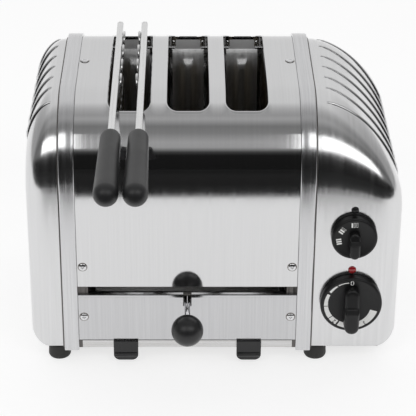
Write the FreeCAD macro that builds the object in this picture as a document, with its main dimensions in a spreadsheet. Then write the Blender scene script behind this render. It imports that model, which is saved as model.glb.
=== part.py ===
import FreeCAD, Part
import math
import os
import Sketcher

# Three-slot toaster with a hand lever, a timer and a sandwich cage.
# Millimetres. +Z up, +X to the right and -Y to the front as the user stands before it.
# Origin: on the plane under the feet, at the centre of the casing.

doc = FreeCAD.newDocument("Toaster")
sheet = doc.addObject("Spreadsheet::Sheet", "Sizes")
working = doc.addObject("Spreadsheet::Sheet", "Working")
V = FreeCAD.Vector

SIZES = {
    "casing": {
        "casing_width": 291,
        "cover_centre": -21,
        "cover_half": 86,
        "band_start": 86.2,
        "band_end": 98,
        "band_face": 103.1,
        "band_top": 219.1,
        "cover_face": 101.5,
        "cover_top": 217.5,
        "cover_low": 70.7,
        "arch_radius": 58,
        "cover_sheet": 0.9,
        "flange_face": 100.6,
        "flange_top": 216.6,
        "flange_inner": 78,
        "flange_sheet": 1,
        "band_low": 12.5,
        "band_sheet": 2.5,
        "base_low": 12.5,
        "base_sheet": 1.1,
        "plate_low": 13.7,
        "plate_sheet": 1.2,
        "base_half_depth": 97,
    },
    "castings": {
        "casting_face": 100.3,
        "casting_top": 215.4,
        "casting_wall": 2.6,
        "casting_round": 15,
        "casting_crease": 13,
        "dome_fullness": 1.25,
        "dome_stations": 9,
        "dome_end_radius": 12,
        "dome_tightening": 0.72,
        "dome_reach_left": 22,
        "dome_drop_left": 42,
        "dome_reach_right": 63,
        "dome_drop_right": 76,
        "louvre_count": 7,
        "louvre_pitch": 20.5,
        "louvre_slit": 2.2,
        "louvre_inset": 9,
        "louvre_low": 118,
    },
    "slots": {
        "slot_width": 32,
        "slot_length": 146,
        "slot_round": 8,
        "slot_pitch": 45,
        "slot_offset": 0.6,
    },
    "lower panels": {
        "panel_low": 21.6,
        "panel_high": 64,
        "hem_high": 3.2,
        "hem_proud": 0.6,
        "panel_return": 5,
        "panel_return_half": 77.4,
        "notch_clear": 20,
        "notch_width": 6.6,
        "notch_low": 53,
    },
    "feet": {
        "foot_radius": 9,
        "foot_high": 12.5,
        "foot_x": 103,
        "foot_y": 89,
        "foot_bore": 5,
        "foot_screw_radius": 2,
        "foot_screw_head": 4,
        "foot_screw_up": 17.5,
    },
    "screws": {
        "screw_radius": 1.5,
        "screw_head": 3.3,
        "screw_dome": 1.5,
        "screw_long": 6,
        "screw_x": 81.7,
        "screw_cover_z": 88.5,
        "screw_panel_z": 43,
        "screw_top_y": 3,
    },
    "heaters and guards": {
        "board_sheet": 1.2,
        "winding_inset": 6,
        "board_half": 70,
        "board_low": 58,
        "board_high": 190,
        "winding_count": 10,
        "winding_width": 3,
        "winding_sheet": 0.3,
        "wire_radius": 0.9,
        "frame_wire_radius": 1.2,
        "grille_offset": 17.6,
        "grille_half": 66,
        "grille_low": 57,
        "grille_high": 203,
        "grille_wires": 6,
        "rail_sheet": 1.5,
        "rail_low": 75,
        "rail_high": 90,
        "guide_width": 26,
        "guide_sheet": 1,
        "guide_high": 205,
        "guide_rib": 2.4,
        "guide_rib_half": 4.5,
        "guide_rib_short": 12,
    },
    "lever": {
        "shaft_y": -93,
        "shaft_z": 58,
        "shaft_radius": 3,
        "shaft_half": 95,
        "bearing_bore": 3.05,
        "bearing_block": 12,
        "bearing_inner": 87,
        "arm_x": 79,
        "arm_sheet": 3,
        "arm_long": 52,
        "arm_tilt": 15,
        "arm_width": 8,
        "pin_radius": 2,
        "pin_long": 5.5,
        "rod_radius": 2.3,
        "rod_tilt": 9.6,
        "ball_radius": 12.4,
        "ball_out": 42.1,
        "rod_long": 33,
    },
    "carriage": {
        "side_x": 82.5,
        "side_sheet": 1.5,
        "bar_y": 43,
        "bar_low": 49,
        "bar_high": 52,
        "bar_width": 6,
        "side_high": 78,
        "pin_slot_long": 9,
        "pin_slot_high": 4.8,
        "guide_rod_x": 88.5,
        "guide_rod_y": 20,
        "guide_rod_radius": 2.5,
        "guide_rod_bore": 2.55,
        "guide_rod_high": 118,
        "bracket_sheet": 3,
        "bracket_half": 5,
        "lug_size": 9,
        "rack_sheet": 1.5,
        "rack_half": 64,
        "rack_low": 84,
        "rack_high": 88,
        "rack_fingers": 7,
        "finger_long": 18,
        "finger_wide": 2,
        "finger_sheet": 1.5,
    },
    "controls": {
        "control_x": 128.7,
        "timer_z": 57.2,
        "timer_radius": 24.3,
        "selector_z": 116.4,
        "selector_radius": 18,
        "knob_gap": 0.5,
        "knob_thick": 6.5,
        "timer_grip_width": 12,
        "timer_grip_high": 14,
        "timer_grip_up": 17,
        "selector_grip_width": 8.6,
        "selector_grip_high": 10,
        "selector_grip_up": 7,
        "grip_round": 3,
        "grip_rise": 4,
        "spindle_radius": 3,
        "spindle_bore": 3.05,
        "spindle_hole": 3.6,
        "spindle_deep": 22,
        "timer_body_size": 44,
        "timer_body_deep": 30,
        "selector_body_size": 30,
        "selector_body_deep": 24,
        "body_gap": 0.15,
        "knob_bore_deep": 5,
        "neon_z": 85.4,
        "neon_radius": 3.2,
        "neon_stem": 2.5,
        "neon_deep": 16,
        "index_z": 138.2,
        "index_radius": 3,
        "index_stem": 1.4,
        "dome_high": 1.3,
    },
    "inlet": {
        "gland_x": 128,
        "gland_z": 40,
        "gland_radius": 8,
        "gland_bore": 4,
        "gland_flange": 11,
        "gland_out": 9,
        "block_y": 40,
        "block_long": 42,
        "block_deep": 18,
        "block_high": 16,
        "block_hole": 2,
        "block_hole_deep": 6,
        "block_hole_pitch": 12,
    },
    "crumb tray": {
        "tray_half": 83.5,
        "tray_floor_half": 77.4,
        "tray_low": 14.4,
        "tray_sheet": 0.8,
        "tray_wall": 18.5,
        "tray_front": 21,
        "tray_back": 88,
        "tab_x": 49,
        "tab_width": 19.5,
        "tab_low": 4,
        "tab_sheet": 2.4,
        "tab_round": 5,
        "tab_curl": 1.8,
        "tab_curl_z": 9,
    },
    "sandwich cage": {
        "strap_left": -54.9,
        "strap_right": -35,
        "strap_width": 5,
        "strap_low": 226,
        "strap_high": 228,
        "strap_round": 2.4,
        "strap_back": 60,
        "strap_front": -156,
        "cage_wire": 1,
        "cage_rod": 1.4,
        "cage_wires": 7,
        "cage_half": 56,
        "cage_hinge_z": 102,
        "cage_link": 0.8,
        "cage_pin": 1.5,
        "cage_pin_bore": 1.56,
        "cage_knuckle": 3.2,
        "knuckle_long": 8,
        "knuckle_y_left": 40,
        "knuckle_y_right": 28,
        "handle_back": -154,
        "handle_front": -241,
        "handle_thin": 7.3,
        "handle_thick": 8.8,
    },
}

row = 1
for heading, cells in SIZES.items():
    sheet.set(f"A{row}", heading)
    row += 1
    for name, value in cells.items():
        sheet.set(f"A{row}", name)
        sheet.set(f"B{row}", str(value))
        sheet.setAlias(f"B{row}", name)
        row += 1
doc.recompute()


def size(name):
    return float(getattr(sheet, name))


TURNS = {
    "+Z": FreeCAD.Rotation(),
    "-Z": FreeCAD.Rotation(V(1, 0, 0), 180),
    "+X": FreeCAD.Rotation(V(0, 1, 0), 90),
    "-X": FreeCAD.Rotation(V(0, 1, 0), -90),
    "+Y": FreeCAD.Rotation(V(1, 0, 0), -90),
    "-Y": FreeCAD.Rotation(V(1, 0, 0), 90),
}


def expression(text):
    """Cell names in text become references to the sheet."""
    words = text.replace("(", " ( ").replace(")", " ) ").split()
    return " ".join(f"Sizes.{w}" if hasattr(sheet, w) and w[0].isalpha() else w for w in words)


def place(thing, at, turn="+Z"):
    thing.Placement = FreeCAD.Placement(V(0, 0, 0), TURNS[turn])
    for letter, text in zip("xyz", at):
        thing.setExpression(f"Placement.Base.{letter}", expression(text))
    return thing


def box(at, across, deep, high):
    thing = doc.addObject("Part::Box", "Block")
    for name, text in (("Length", across), ("Width", deep), ("Height", high)):
        thing.setExpression(name, expression(text))
    return place(thing, at)


def cylinder(at, radius, long, turn="+Z"):
    thing = doc.addObject("Part::Cylinder", "Round")
    thing.setExpression("Radius", expression(radius))
    thing.setExpression("Height", expression(long))
    return place(thing, at, turn)


def cone(at, radius, end_radius, long, turn="+Z"):
    thing = doc.addObject("Part::Cone", "Taper")
    thing.setExpression("Radius1", expression(radius))
    thing.setExpression("Radius2", expression(end_radius))
    thing.setExpression("Height", expression(long))
    return place(thing, at, turn)


def ball(at, radius):
    thing = doc.addObject("Part::Sphere", "Ball")
    thing.setExpression("Radius", expression(radius))
    return place(thing, at)


def cap(at, radius, high, turn):
    """A domed head: the part of a flattened ball in front of its seat."""
    thing = doc.addObject("Part::Ellipsoid", "Dome")
    thing.setExpression("Radius1", expression(high))
    thing.setExpression("Radius2", expression(radius))
    thing.setExpression("Radius3", expression(radius))
    thing.Angle1 = 0
    return place(thing, at, turn)


def cut(base, tool):
    thing = doc.addObject("Part::Cut", "Trimmed")
    thing.Base = base
    thing.Tool = tool
    return thing


def fuse(*pieces):
    thing = doc.addObject("Part::MultiFuse", "Joined")
    thing.Shapes = list(pieces)
    thing.Refine = True
    return thing


def group(*pieces):
    thing = doc.addObject("Part::Compound", "Group")
    thing.Links = list(pieces)
    return thing


def rounded(base, radius, wanted):
    """Rounds the edges of base whose middle wanted accepts."""
    doc.recompute()
    thing = doc.addObject("Part::Fillet", "Rounded")
    thing.Base = base
    picked = [i + 1 for i, e in enumerate(base.Shape.Edges) if wanted(e)]
    thing.Edges = [(i, size(radius), size(radius)) for i in picked]
    return thing


nodes = {}


def node(name, thing):
    thing.Label = name
    nodes[name] = thing
    return thing


def plane(body, role):
    return next(f for f in body.Origin.OriginFeatures if f.Role == role)


def sketch_on(body, role, name):
    sketch = body.newObject("Sketcher::SketchObject", name)
    sketch.AttachmentSupport = [(plane(body, role), "")]
    sketch.MapMode = "FlatFace"
    return sketch


def worth(text):
    """The present value of an expression."""
    working.set("A1", "=" + expression(text))
    working.recompute()
    return float(working.A1)


def bind(sketch, kind, *rest):
    """A dimension of the sketch, bound to the sheet. The last item is its expression."""
    *where, text = rest
    number = sketch.addConstraint(Sketcher.Constraint(kind, *where, worth(text)))
    sketch.setExpression(f"Constraints[{number}]", expression(text))


def arch_line(sketch, face, top, radius, low):
    """Front wall, front round, flat top, back round and back wall of an arch, as five edges."""
    f, t, r, z = (worth(text) for text in (face, top, radius, low))
    first = sketch.GeometryCount
    quarter = math.pi / 2
    pieces = [
        Part.LineSegment(V(-f, z, 0), V(-f, t - r, 0)),
        Part.ArcOfCircle(Part.Circle(V(r - f, t - r, 0), V(0, 0, 1), r), quarter, 2 * quarter),
        Part.LineSegment(V(r - f, t, 0), V(f - r, t, 0)),
        Part.ArcOfCircle(Part.Circle(V(f - r, t - r, 0), V(0, 0, 1), r), 0, quarter),
        Part.LineSegment(V(f, t - r, 0), V(f, z, 0)),
    ]
    sketch.addGeometry(pieces, False)
    wall, front, roof, back, rear = range(first, first + 5)
    for kind, edge in (("Vertical", wall), ("Horizontal", roof), ("Vertical", rear)):
        sketch.addConstraint(Sketcher.Constraint(kind, edge))
    for joint in ((wall, 2, front, 2), (front, 1, roof, 1), (roof, 2, back, 2), (back, 1, rear, 1)):
        sketch.addConstraint(Sketcher.Constraint("Tangent", *joint))
    sketch.addConstraint(Sketcher.Constraint("Equal", front, back))
    bind(sketch, "Radius", front, radius)
    bind(sketch, "DistanceX", wall, 1, -1, 1, face)
    bind(sketch, "DistanceX", -1, 1, rear, 2, face)
    bind(sketch, "DistanceY", -1, 1, wall, 1, low)
    bind(sketch, "DistanceY", -1, 1, rear, 2, low)
    bind(sketch, "DistanceY", -1, 1, roof, 1, top)
    return wall, rear


def arch_body(name, face, top, radius, low, thick, start, width):
    """A sheet bent over the casing from front to back, or a plate of that outline if thick is None."""
    body = doc.addObject("PartDesign::Body", name.title().replace("_", ""))
    sketch = sketch_on(body, "YZ_Plane", "ArchLine")
    outer = arch_line(sketch, face, top, radius, low)
    closings = [((outer[0], 1), (outer[1], 2))]
    if thick:
        inner = arch_line(sketch, f"{face} - {thick}", f"{top} - {thick}", f"{radius} - {thick}", low)
        closings = [((outer[0], 1), (inner[0], 1)), ((outer[1], 2), (inner[1], 2))]
    for (mine, my_end), (other, other_end) in closings:
        ends = (sketch.getPoint(mine, my_end), sketch.getPoint(other, other_end))
        closing = sketch.addGeometry(Part.LineSegment(*ends), False)
        sketch.addConstraint(Sketcher.Constraint("Coincident", closing, 1, mine, my_end))
        sketch.addConstraint(Sketcher.Constraint("Coincident", closing, 2, other, other_end))
    pad = body.newObject("PartDesign::Pad", "Sheet")
    pad.Profile = sketch
    pad.setExpression("Length", expression(width))
    sketch.Visibility = False
    body.setExpression("Placement.Base.x", expression(start))
    doc.recompute()
    return body


SIDES = {"left": -1, "right": 1}


def across(side, inner, outer):
    """Expression for the lower X of a piece that runs from inner to outer on one side."""
    return f"cover_centre + {inner}" if side > 0 else f"cover_centre - {outer}"


# the sheets that wrap the casing

base_plate = box(
    ("- casing_width / 2 + 14", "- base_half_depth", "base_low"),
    "casing_width - 28",
    "2 * base_half_depth",
    "base_sheet",
)

cover = arch_body(
    "cover_sheet_body", "cover_face", "cover_top", "arch_radius", "cover_low",
    "cover_sheet", "cover_centre - cover_half", "2 * cover_half",
)


def slot_pocket(body):
    """Three bread slots cut down through the top of the cover."""
    sketch = sketch_on(body, "XY_Plane", "SlotLine")
    half_w = size("slot_width") / 2
    half_l = size("slot_length") / 2
    r = size("slot_round")
    middle = size("cover_half") + size("slot_offset") - size("slot_pitch")
    quarter = math.pi / 2
    corners = [(1, 1, 0), (-1, 1, 1), (-1, -1, 2), (1, -1, 3)]
    lines = [
        (V(middle + half_w, r - half_l, 0), V(middle + half_w, half_l - r, 0)),
        (V(middle + half_w - r, half_l, 0), V(middle - half_w + r, half_l, 0)),
        (V(middle - half_w, half_l - r, 0), V(middle - half_w, r - half_l, 0)),
        (V(middle - half_w + r, -half_l, 0), V(middle + half_w - r, -half_l, 0)),
    ]
    for start, end in lines:
        sketch.addGeometry(Part.LineSegment(start, end), False)
    for sx, sy, turn in corners:
        centre = V(middle + sx * (half_w - r), sy * (half_l - r), 0)
        arc = Part.ArcOfCircle(Part.Circle(centre, V(0, 0, 1), r), turn * quarter, (turn + 1) * quarter)
        sketch.addGeometry(arc, False)
    for line in range(4):
        corner = 4 + line
        sketch.addConstraint(Sketcher.Constraint("Tangent", line, 2, corner, 1))
        sketch.addConstraint(Sketcher.Constraint("Tangent", corner, 2, (line + 1) % 4, 1))
    for kind, line in (("Vertical", 0), ("Horizontal", 1), ("Vertical", 2), ("Horizontal", 3)):
        sketch.addConstraint(Sketcher.Constraint(kind, line))
    for corner in (5, 6, 7):
        sketch.addConstraint(Sketcher.Constraint("Equal", 4, corner))
    bind(sketch, "Radius", 4, "slot_round")
    bind(sketch, "DistanceX", 2, 1, 0, 1, "slot_width")
    bind(sketch, "DistanceY", 3, 1, 1, 1, "slot_length")
    bind(sketch, "DistanceY", -1, 1, 1, 1, "slot_length / 2")
    bind(sketch, "DistanceX", -1, 1, 0, 1, "cover_half + slot_offset - slot_pitch + slot_width / 2")
    pocket = body.newObject("PartDesign::Pocket", "Slot")
    pocket.Profile = sketch
    pocket.Type = "ThroughAll"
    pocket.Reversed = True
    doc.recompute()
    pattern = body.newObject("PartDesign::LinearPattern", "Slots")
    pattern.Originals = [pocket]
    pattern.Direction = (plane(body, "X_Axis"), [""])
    pattern.setExpression("Length", expression("2 * slot_pitch"))
    pattern.Occurrences = 3
    body.Tip = pattern
    sketch.Visibility = False
    doc.recompute()


slot_pocket(cover)


def screw_places(z_name):
    """Where the small screws enter the front and back of a sheet: X, Y, Z and the way they point."""
    for side in ("-", "+"):
        x = f"cover_centre {side} screw_x"
        yield (x, "- cover_face", z_name), "+Y", "-Y"
        yield (x, "cover_face", z_name), "-Y", "+Y"


def top_screw_places():
    for side in ("-", "+"):
        yield (f"cover_centre {side} screw_x", "screw_top_y", "cover_top"), "-Z", "+Z"


def screws(places):
    made = []
    for at, inward, outward in places:
        shank = cylinder(at, "screw_radius", "screw_long", inward)
        made.append(fuse(shank, cap(at, "screw_head", "screw_dome", outward)))
    return group(*made)


def screw_holes(places):
    return fuse(*[cylinder(at, "screw_radius", "screw_long", inward) for at, inward, _ in places])


cover_places = list(screw_places("screw_cover_z")) + list(top_screw_places())
panel_places = list(screw_places("screw_panel_z"))
node("base_plate", base_plate)
node("top_cover", cut(cover, screw_holes(cover_places)))
node("cover_screws", screws(cover_places))
node("panel_screws", screws(panel_places))

for side_name, side in SIDES.items():
    band = arch_body(
        f"band_{side_name}_body", "band_face", "band_top", "arch_radius", "band_low",
        "band_sheet", across(side, "band_start", "band_end"), "band_end - band_start",
    )
    node(f"band_{side_name}", band)
    flange = arch_body(
        f"flange_{side_name}_body", "flange_face", "flange_top", "arch_radius", "plate_low",
        "flange_sheet", across(side, "flange_inner", "band_end"), "band_end - flange_inner",
    )
    web = arch_body(
        f"web_{side_name}_body", "flange_face", "flange_top", "arch_radius", "plate_low",
        None, across(side, "band_end", "( band_end + plate_sheet )"), "plate_sheet",
    )
    end_plate = cut(fuse(flange, web), screw_holes(cover_places + panel_places))
    node(f"end_plate_{side_name}", end_plate)


# end castings: a dome on the outer end of the casing


def arch_wire(x, face, top, radius, low):
    """The closed outline of an arch, standing at X."""
    mid = radius * math.sqrt(0.5)
    bend = face - radius
    front = V(x, -bend - mid, top - radius + mid)
    back = V(x, bend + mid, top - radius + mid)
    edges = [
        Part.LineSegment(V(x, -face, low), V(x, -face, top - radius)).toShape(),
        Part.Arc(V(x, -face, top - radius), front, V(x, -bend, top)).toShape(),
        Part.LineSegment(V(x, -bend, top), V(x, bend, top)).toShape(),
        Part.Arc(V(x, bend, top), back, V(x, face, top - radius)).toShape(),
        Part.LineSegment(V(x, face, top - radius), V(x, face, low)).toShape(),
        Part.LineSegment(V(x, face, low), V(x, -face, low)).toShape(),
    ]
    return Part.Wire(edges)


def dome_block(side_name, inset):
    """The casting's outer form, or its hollow when inset by the wall: arches that shrink to the end."""
    side = SIDES[side_name]
    start = size("cover_centre") + side * (size("band_end") + size("plate_sheet") - inset)
    end = side * (size("casing_width") / 2 - inset)
    reach = size(f"dome_reach_{side_name}")
    drop = size(f"dome_drop_{side_name}")
    corner = size("casting_crease")
    foot = size("casting_round")
    fullness = size("dome_fullness")
    stations = int(size("dome_stations"))
    wires = []
    for step in range(-1, stations + 1):
        turn = math.pi / 2 * max(step, 0) / stations
        x_in = reach * (1 - math.sin(turn) ** fullness)
        fall = drop * (1 - math.cos(turn) ** fullness)
        pull = corner - math.sqrt(max(0, corner**2 - max(0, corner - x_in) ** 2))
        lift = foot - math.sqrt(max(0, foot**2 - max(0, foot - x_in) ** 2))
        x = start if step < 0 else end - side * x_in
        face = size("casting_face") - inset - pull
        top = size("casting_top") - inset - fall
        radius = max(size("dome_end_radius"), size("arch_radius") - size("dome_tightening") * fall)
        wires.append(arch_wire(x, face, top, radius - inset, size("plate_low") + inset + lift))
    return Part.makeLoft(wires, True, False)


def casting(side_name):
    side = SIDES[side_name]
    outer = dome_block(side_name, 0)
    wall = size("casting_wall")
    hollow = dome_block(side_name, wall)
    shell = outer.cut(hollow)
    start = size("cover_centre") + side * (size("band_end") + size("plate_sheet") + size("louvre_inset"))
    end = side * (size("casing_width") / 2 + 1)
    slit = size("louvre_slit")
    count = int(size("louvre_count"))
    for number in range(count):
        y = (number - (count - 1) / 2) * size("louvre_pitch") - slit / 2
        corner = V(min(start, end), y, size("louvre_low"))
        shell = shell.cut(Part.makeBox(abs(end - start), slit, size("casting_top"), corner))
    return shell


def feature(name, shape):
    """A node whose shape comes from formulas rather than from sketches or primitives."""
    thing = doc.addObject("Part::Feature", "Formed")
    thing.Shape = shape
    return node(name, thing)


def drilled(shape, *holes):
    """shape with round holes along +Y: X, Z and radius names of each, from its front or back wall."""
    for x, y, z, radius, long in holes:
        shape = shape.cut(Part.makeCylinder(size(radius), long, V(x, y, z), V(0, 1, 0)))
    return shape


def foot_holes(shape, side):
    """shape with the two holes in its floor that its foot screws hold in."""
    for y in (-size("foot_y"), size("foot_y")):
        at = V(size("cover_centre") + side * size("foot_x"), y, 0)
        shape = shape.cut(Part.makeCylinder(size("foot_screw_radius"), size("foot_screw_up") + 1, at))
    return shape


front = -size("casting_face")
through = 2 * size("casting_wall")
control_x = size("cover_centre") + size("control_x")
front_holes = [
    (control_x, front - 1, size("timer_z"), "spindle_hole", through),
    (control_x, front - 1, size("selector_z"), "spindle_hole", through),
    (control_x, front - 1, size("neon_z"), "neon_stem", through),
    (control_x, front - 1, size("index_z"), "index_stem", through),
]
inlet_x = size("cover_centre") + size("gland_x")
inlet_hole = (inlet_x, -front - through + 1, size("gland_z"), "gland_radius", through)
feature("end_casting_left", foot_holes(casting("left"), -1))
feature("end_casting_right", drilled(foot_holes(casting("right"), 1), *front_holes, inlet_hole))


# lower panels, front and back


def lower_panel(name, outward, low, notched):
    """A flat sheet below the cover with a hem and a return along its top edge."""
    half = "2 * cover_half"
    left = "cover_centre - cover_half"
    if outward < 0:
        face, hem, lip = "- cover_face", "- cover_face - hem_proud", "- cover_face + cover_sheet"
    else:
        face, hem, lip = "cover_face - cover_sheet", "cover_face", "cover_face - cover_sheet - panel_return"
    sheet_part = box((left, face, low), half, "cover_sheet", f"panel_high - ( {low} )")
    hem_part = box((left, hem, "panel_high - hem_high"), half, "hem_proud", "hem_high")
    lip_part = box(
        ("cover_centre - panel_return_half", lip, "panel_high - cover_sheet"),
        "2 * panel_return_half", "panel_return", "cover_sheet",
    )
    panel = fuse(sheet_part, hem_part, lip_part)
    if notched:
        notch = box(
            ("cover_centre - notch_width / 2", "- cover_face - notch_clear / 2", "notch_low"),
            "notch_width", "notch_clear", "notch_clear",
        )
        panel = cut(panel, notch)
    node(name, cut(panel, screw_holes(panel_places)))


lower_panel("front_panel", -1, "panel_low", True)
lower_panel("rear_panel", 1, "plate_low", False)


# feet

foot_tools = []
for end_name, end in (("front", "-"), ("rear", "+")):
    for side_name, side in (("left", "-"), ("right", "+")):
        x, y = f"cover_centre {side} foot_x", f"{end} foot_y" if end == "-" else "foot_y"
        body = cylinder((x, y, "0"), "foot_radius", "foot_high")
        recess = cylinder((x, y, "0"), "foot_screw_head + 0.6", "foot_bore")
        bore = cylinder((x, y, "0"), "foot_screw_radius", "foot_high")
        node(f"foot_{end_name}_{side_name}", cut(body, fuse(recess, bore)))
        head = cylinder((x, y, "foot_bore - 2.5"), "foot_screw_head", "2.5")
        shank = cylinder((x, y, "foot_bore - 1"), "foot_screw_radius", "foot_screw_up - foot_bore + 1")
        foot_tools.append(fuse(head, shank))
node("foot_screws", group(*foot_tools))
base_holes = [
    cylinder(
        (f"cover_centre {side} foot_x", y, "base_low - 1"), "foot_screw_radius", "base_sheet + 2"
    )
    for side in "-+"
    for y in ("- foot_y", "foot_y")
]
node("base_plate", cut(base_plate, fuse(*base_holes)))


# heating boards between the slots, their windings, guards and rails


def slot_x(number):
    return f"cover_centre + slot_offset + ( {number} ) * slot_pitch"


windings = []
for number in range(4):
    x = slot_x(number - 1.5)
    board = box((f"{x} - board_sheet / 2", "- board_half", "board_low"),
                "board_sheet", "2 * board_half", "board_high - board_low")
    node(f"heater_board_{number + 1}", board)
    pitch = "( board_high - board_low ) / ( winding_count + 1 )"
    for turn in range(int(size("winding_count"))):
        z = f"board_low + {turn + 1} * {pitch}"
        for face in ("- board_sheet / 2 - winding_sheet", "+ board_sheet / 2"):
            windings.append(box((f"{x} {face}", "- board_half + winding_inset", z),
                                "winding_sheet", "2 * board_half - 2 * winding_inset", "winding_width"))
node("heater_windings", group(*windings))

for number in range(3):
    grilles = []
    for side in ("-", "+"):
        x = f"{slot_x(number - 1)} {side} grille_offset"
        wires = [
            cylinder((x, "- grille_half", z), "frame_wire_radius", "2 * grille_half", "+Y")
            for z in ("grille_low", "grille_high")
        ]
        for wire in range(int(size("grille_wires"))):
            y = f"- grille_half + 2 + {wire} * ( 2 * grille_half - 4 ) / ( grille_wires - 1 )"
            wires.append(cylinder((x, y, "grille_low"), "wire_radius", "grille_high - grille_low"))
        grilles.append(fuse(*wires))
    node(f"guard_grille_{number + 1}", group(*grilles))
    guide_left = f"{slot_x(number - 1)} - guide_width / 2"
    guide_sheet = box((guide_left, "board_half - guide_sheet", "rail_low"),
                      "guide_width", "guide_sheet", "guide_high - rail_low")
    rib_y = "board_half - guide_sheet - guide_rib"
    rib_stem = box(
        (f"{slot_x(number - 1)} - guide_rib_half", rib_y, "rail_low"),
        "2 * guide_rib_half", "guide_rib + guide_sheet / 2", "guide_high - rail_low - guide_rib_short",
    )
    rib_head = cylinder(
        (slot_x(number - 1), rib_y, "guide_high - guide_rib_short"),
        "guide_rib_half", "guide_rib + guide_sheet / 2", "+Y",
    )
    node(f"slot_guide_{number + 1}", fuse(guide_sheet, rib_stem, rib_head))

for name, y in (("front", "- board_half - rail_sheet"), ("rear", "board_half")):
    rail_at = ("cover_centre - band_end", y, "rail_low")
    rail = box(rail_at, "2 * band_end", "rail_sheet", "rail_high - rail_low")
    node(f"chassis_rail_{name}", rail)


# eject lever: shaft across the casing, an arm at each end, and the rod with its ball

shaft_at = ("cover_centre - shaft_half", "shaft_y", "shaft_z")
node("lever_shaft", cylinder(shaft_at, "shaft_radius", "2 * shaft_half", "+X"))
blocks = []
for side in (-1, 1):
    corner_x = across(side, "bearing_inner", "band_end")
    corner = (corner_x, "shaft_y - bearing_block / 2", "shaft_z - bearing_block / 2")
    block = box(corner, "band_end - bearing_inner", "bearing_block", "bearing_block")
    blocks.append(cut(block, cylinder(shaft_at, "bearing_bore", "2 * shaft_half", "+X")))
node("lever_bearings", group(*blocks))


def tilted(shape, pivot, angle):
    """shape turned about the line along X through pivot: a positive angle lifts what is behind it."""
    turned = shape.copy()
    turned.rotate(pivot, V(1, 0, 0), angle)
    return turned


pivot = V(size("cover_centre"), size("shaft_y"), size("shaft_z"))
for side_name, side in SIDES.items():
    long, wide, thick = size("arm_long"), size("arm_width"), size("arm_sheet")
    x = pivot.x + side * size("arm_x") - thick / 2
    bar = Part.makeBox(thick, long, wide, V(x, pivot.y, pivot.z - wide / 2))
    ends = [Part.makeCylinder(wide / 2, thick, V(x, pivot.y + y, pivot.z), V(1, 0, 0)) for y in (0, long)]
    pin_x = x + thick if side > 0 else x - size("pin_long")
    pin = Part.makeCylinder(
        size("pin_radius"), size("pin_long"), V(pin_x, pivot.y + long, pivot.z), V(1, 0, 0)
    )
    bore = Part.makeCylinder(size("shaft_radius"), thick, V(x, pivot.y, pivot.z), V(1, 0, 0))
    arm = bar.fuse([*ends, pin]).removeSplitter().cut(bore)
    feature(f"lever_arm_{side_name}", tilted(arm, pivot, size("arm_tilt")))
rod = Part.makeCylinder(size("rod_radius"), size("rod_long"), V(pivot.x, pivot.y, pivot.z), V(0, -1, 0))
bore_start = V(pivot.x - size("shaft_half"), pivot.y, pivot.z)
rod = rod.cut(Part.makeCylinder(size("shaft_radius"), 2 * size("shaft_half"), bore_start, V(1, 0, 0)))
feature("lever_rod", tilted(rod, pivot, size("rod_tilt")))
knob = Part.makeSphere(size("ball_radius"), V(pivot.x, pivot.y - size("ball_out"), pivot.z))
knob = knob.cut(
    Part.makeCylinder(size("rod_radius"), size("rod_long"), V(pivot.x, pivot.y, pivot.z), V(0, -1, 0))
)
feature("lever_ball", tilted(knob, pivot, size("rod_tilt")))


# bread carriage: two cross bars, two side plates that ride on rods, and three racks

carriage = []
pin_y = pivot.y + size("arm_long") * math.cos(math.radians(size("arm_tilt")))
pin_z = pivot.z + size("arm_long") * math.sin(math.radians(size("arm_tilt")))
for side in (-1, 1):
    sign = "+" if side > 0 else "-"
    plate_x = f"cover_centre {sign} side_x - side_sheet / 2"
    plate = box((plate_x, "- bar_y - 6", "bar_low"), "side_sheet", "2 * bar_y + 12", "side_high - bar_low")
    window = Part.makeBox(
        size("side_sheet") + 2,
        size("pin_slot_long"),
        size("pin_slot_high"),
        V(pivot.x + side * size("side_x") - size("side_sheet") / 2 - 1,
          pin_y - size("pin_slot_long") / 2, pin_z - size("pin_slot_high") / 2),
    )
    opening = doc.addObject("Part::Feature", "PinSlot")
    opening.Shape = window
    lug_x = f"cover_centre {sign} guide_rod_x - lug_size / 2"
    lug = box((lug_x, "guide_rod_y - lug_size / 2", "bar_low"), "lug_size", "lug_size", "side_high - bar_low")
    carriage.append(cut(plate, opening))
    carriage.append(lug)
for y in ("- bar_y", "bar_y"):
    carriage.append(box(("cover_centre - side_x", f"{y} - bar_width / 2", "bar_low"),
                        "2 * side_x", "bar_width", "bar_high - bar_low"))
rod_bores = [
    cylinder(
        (f"cover_centre {side} guide_rod_x", "guide_rod_y", "bar_low - 1"), "guide_rod_bore", "guide_rod_high"
    )
    for side in "-+"
]
node("carriage_frame", cut(fuse(*carriage), fuse(*rod_bores)))

rods = []
for side in (-1, 1):
    x = f"cover_centre {'+' if side > 0 else '-'} guide_rod_x"
    rod_part = cylinder((x, "guide_rod_y", "plate_low"), "guide_rod_radius", "guide_rod_high - plate_low")
    bracket_inner = "( guide_rod_x - bracket_half + 1 )"
    corner_x = across(side, bracket_inner, "band_end")
    corner = (corner_x, "guide_rod_y - bracket_half", "guide_rod_high - bracket_sheet")
    bracket = box(corner, f"band_end - {bracket_inner}", "2 * bracket_half", "bracket_sheet")
    rods.append(fuse(rod_part, bracket))
node("guide_rods", group(*rods))

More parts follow.
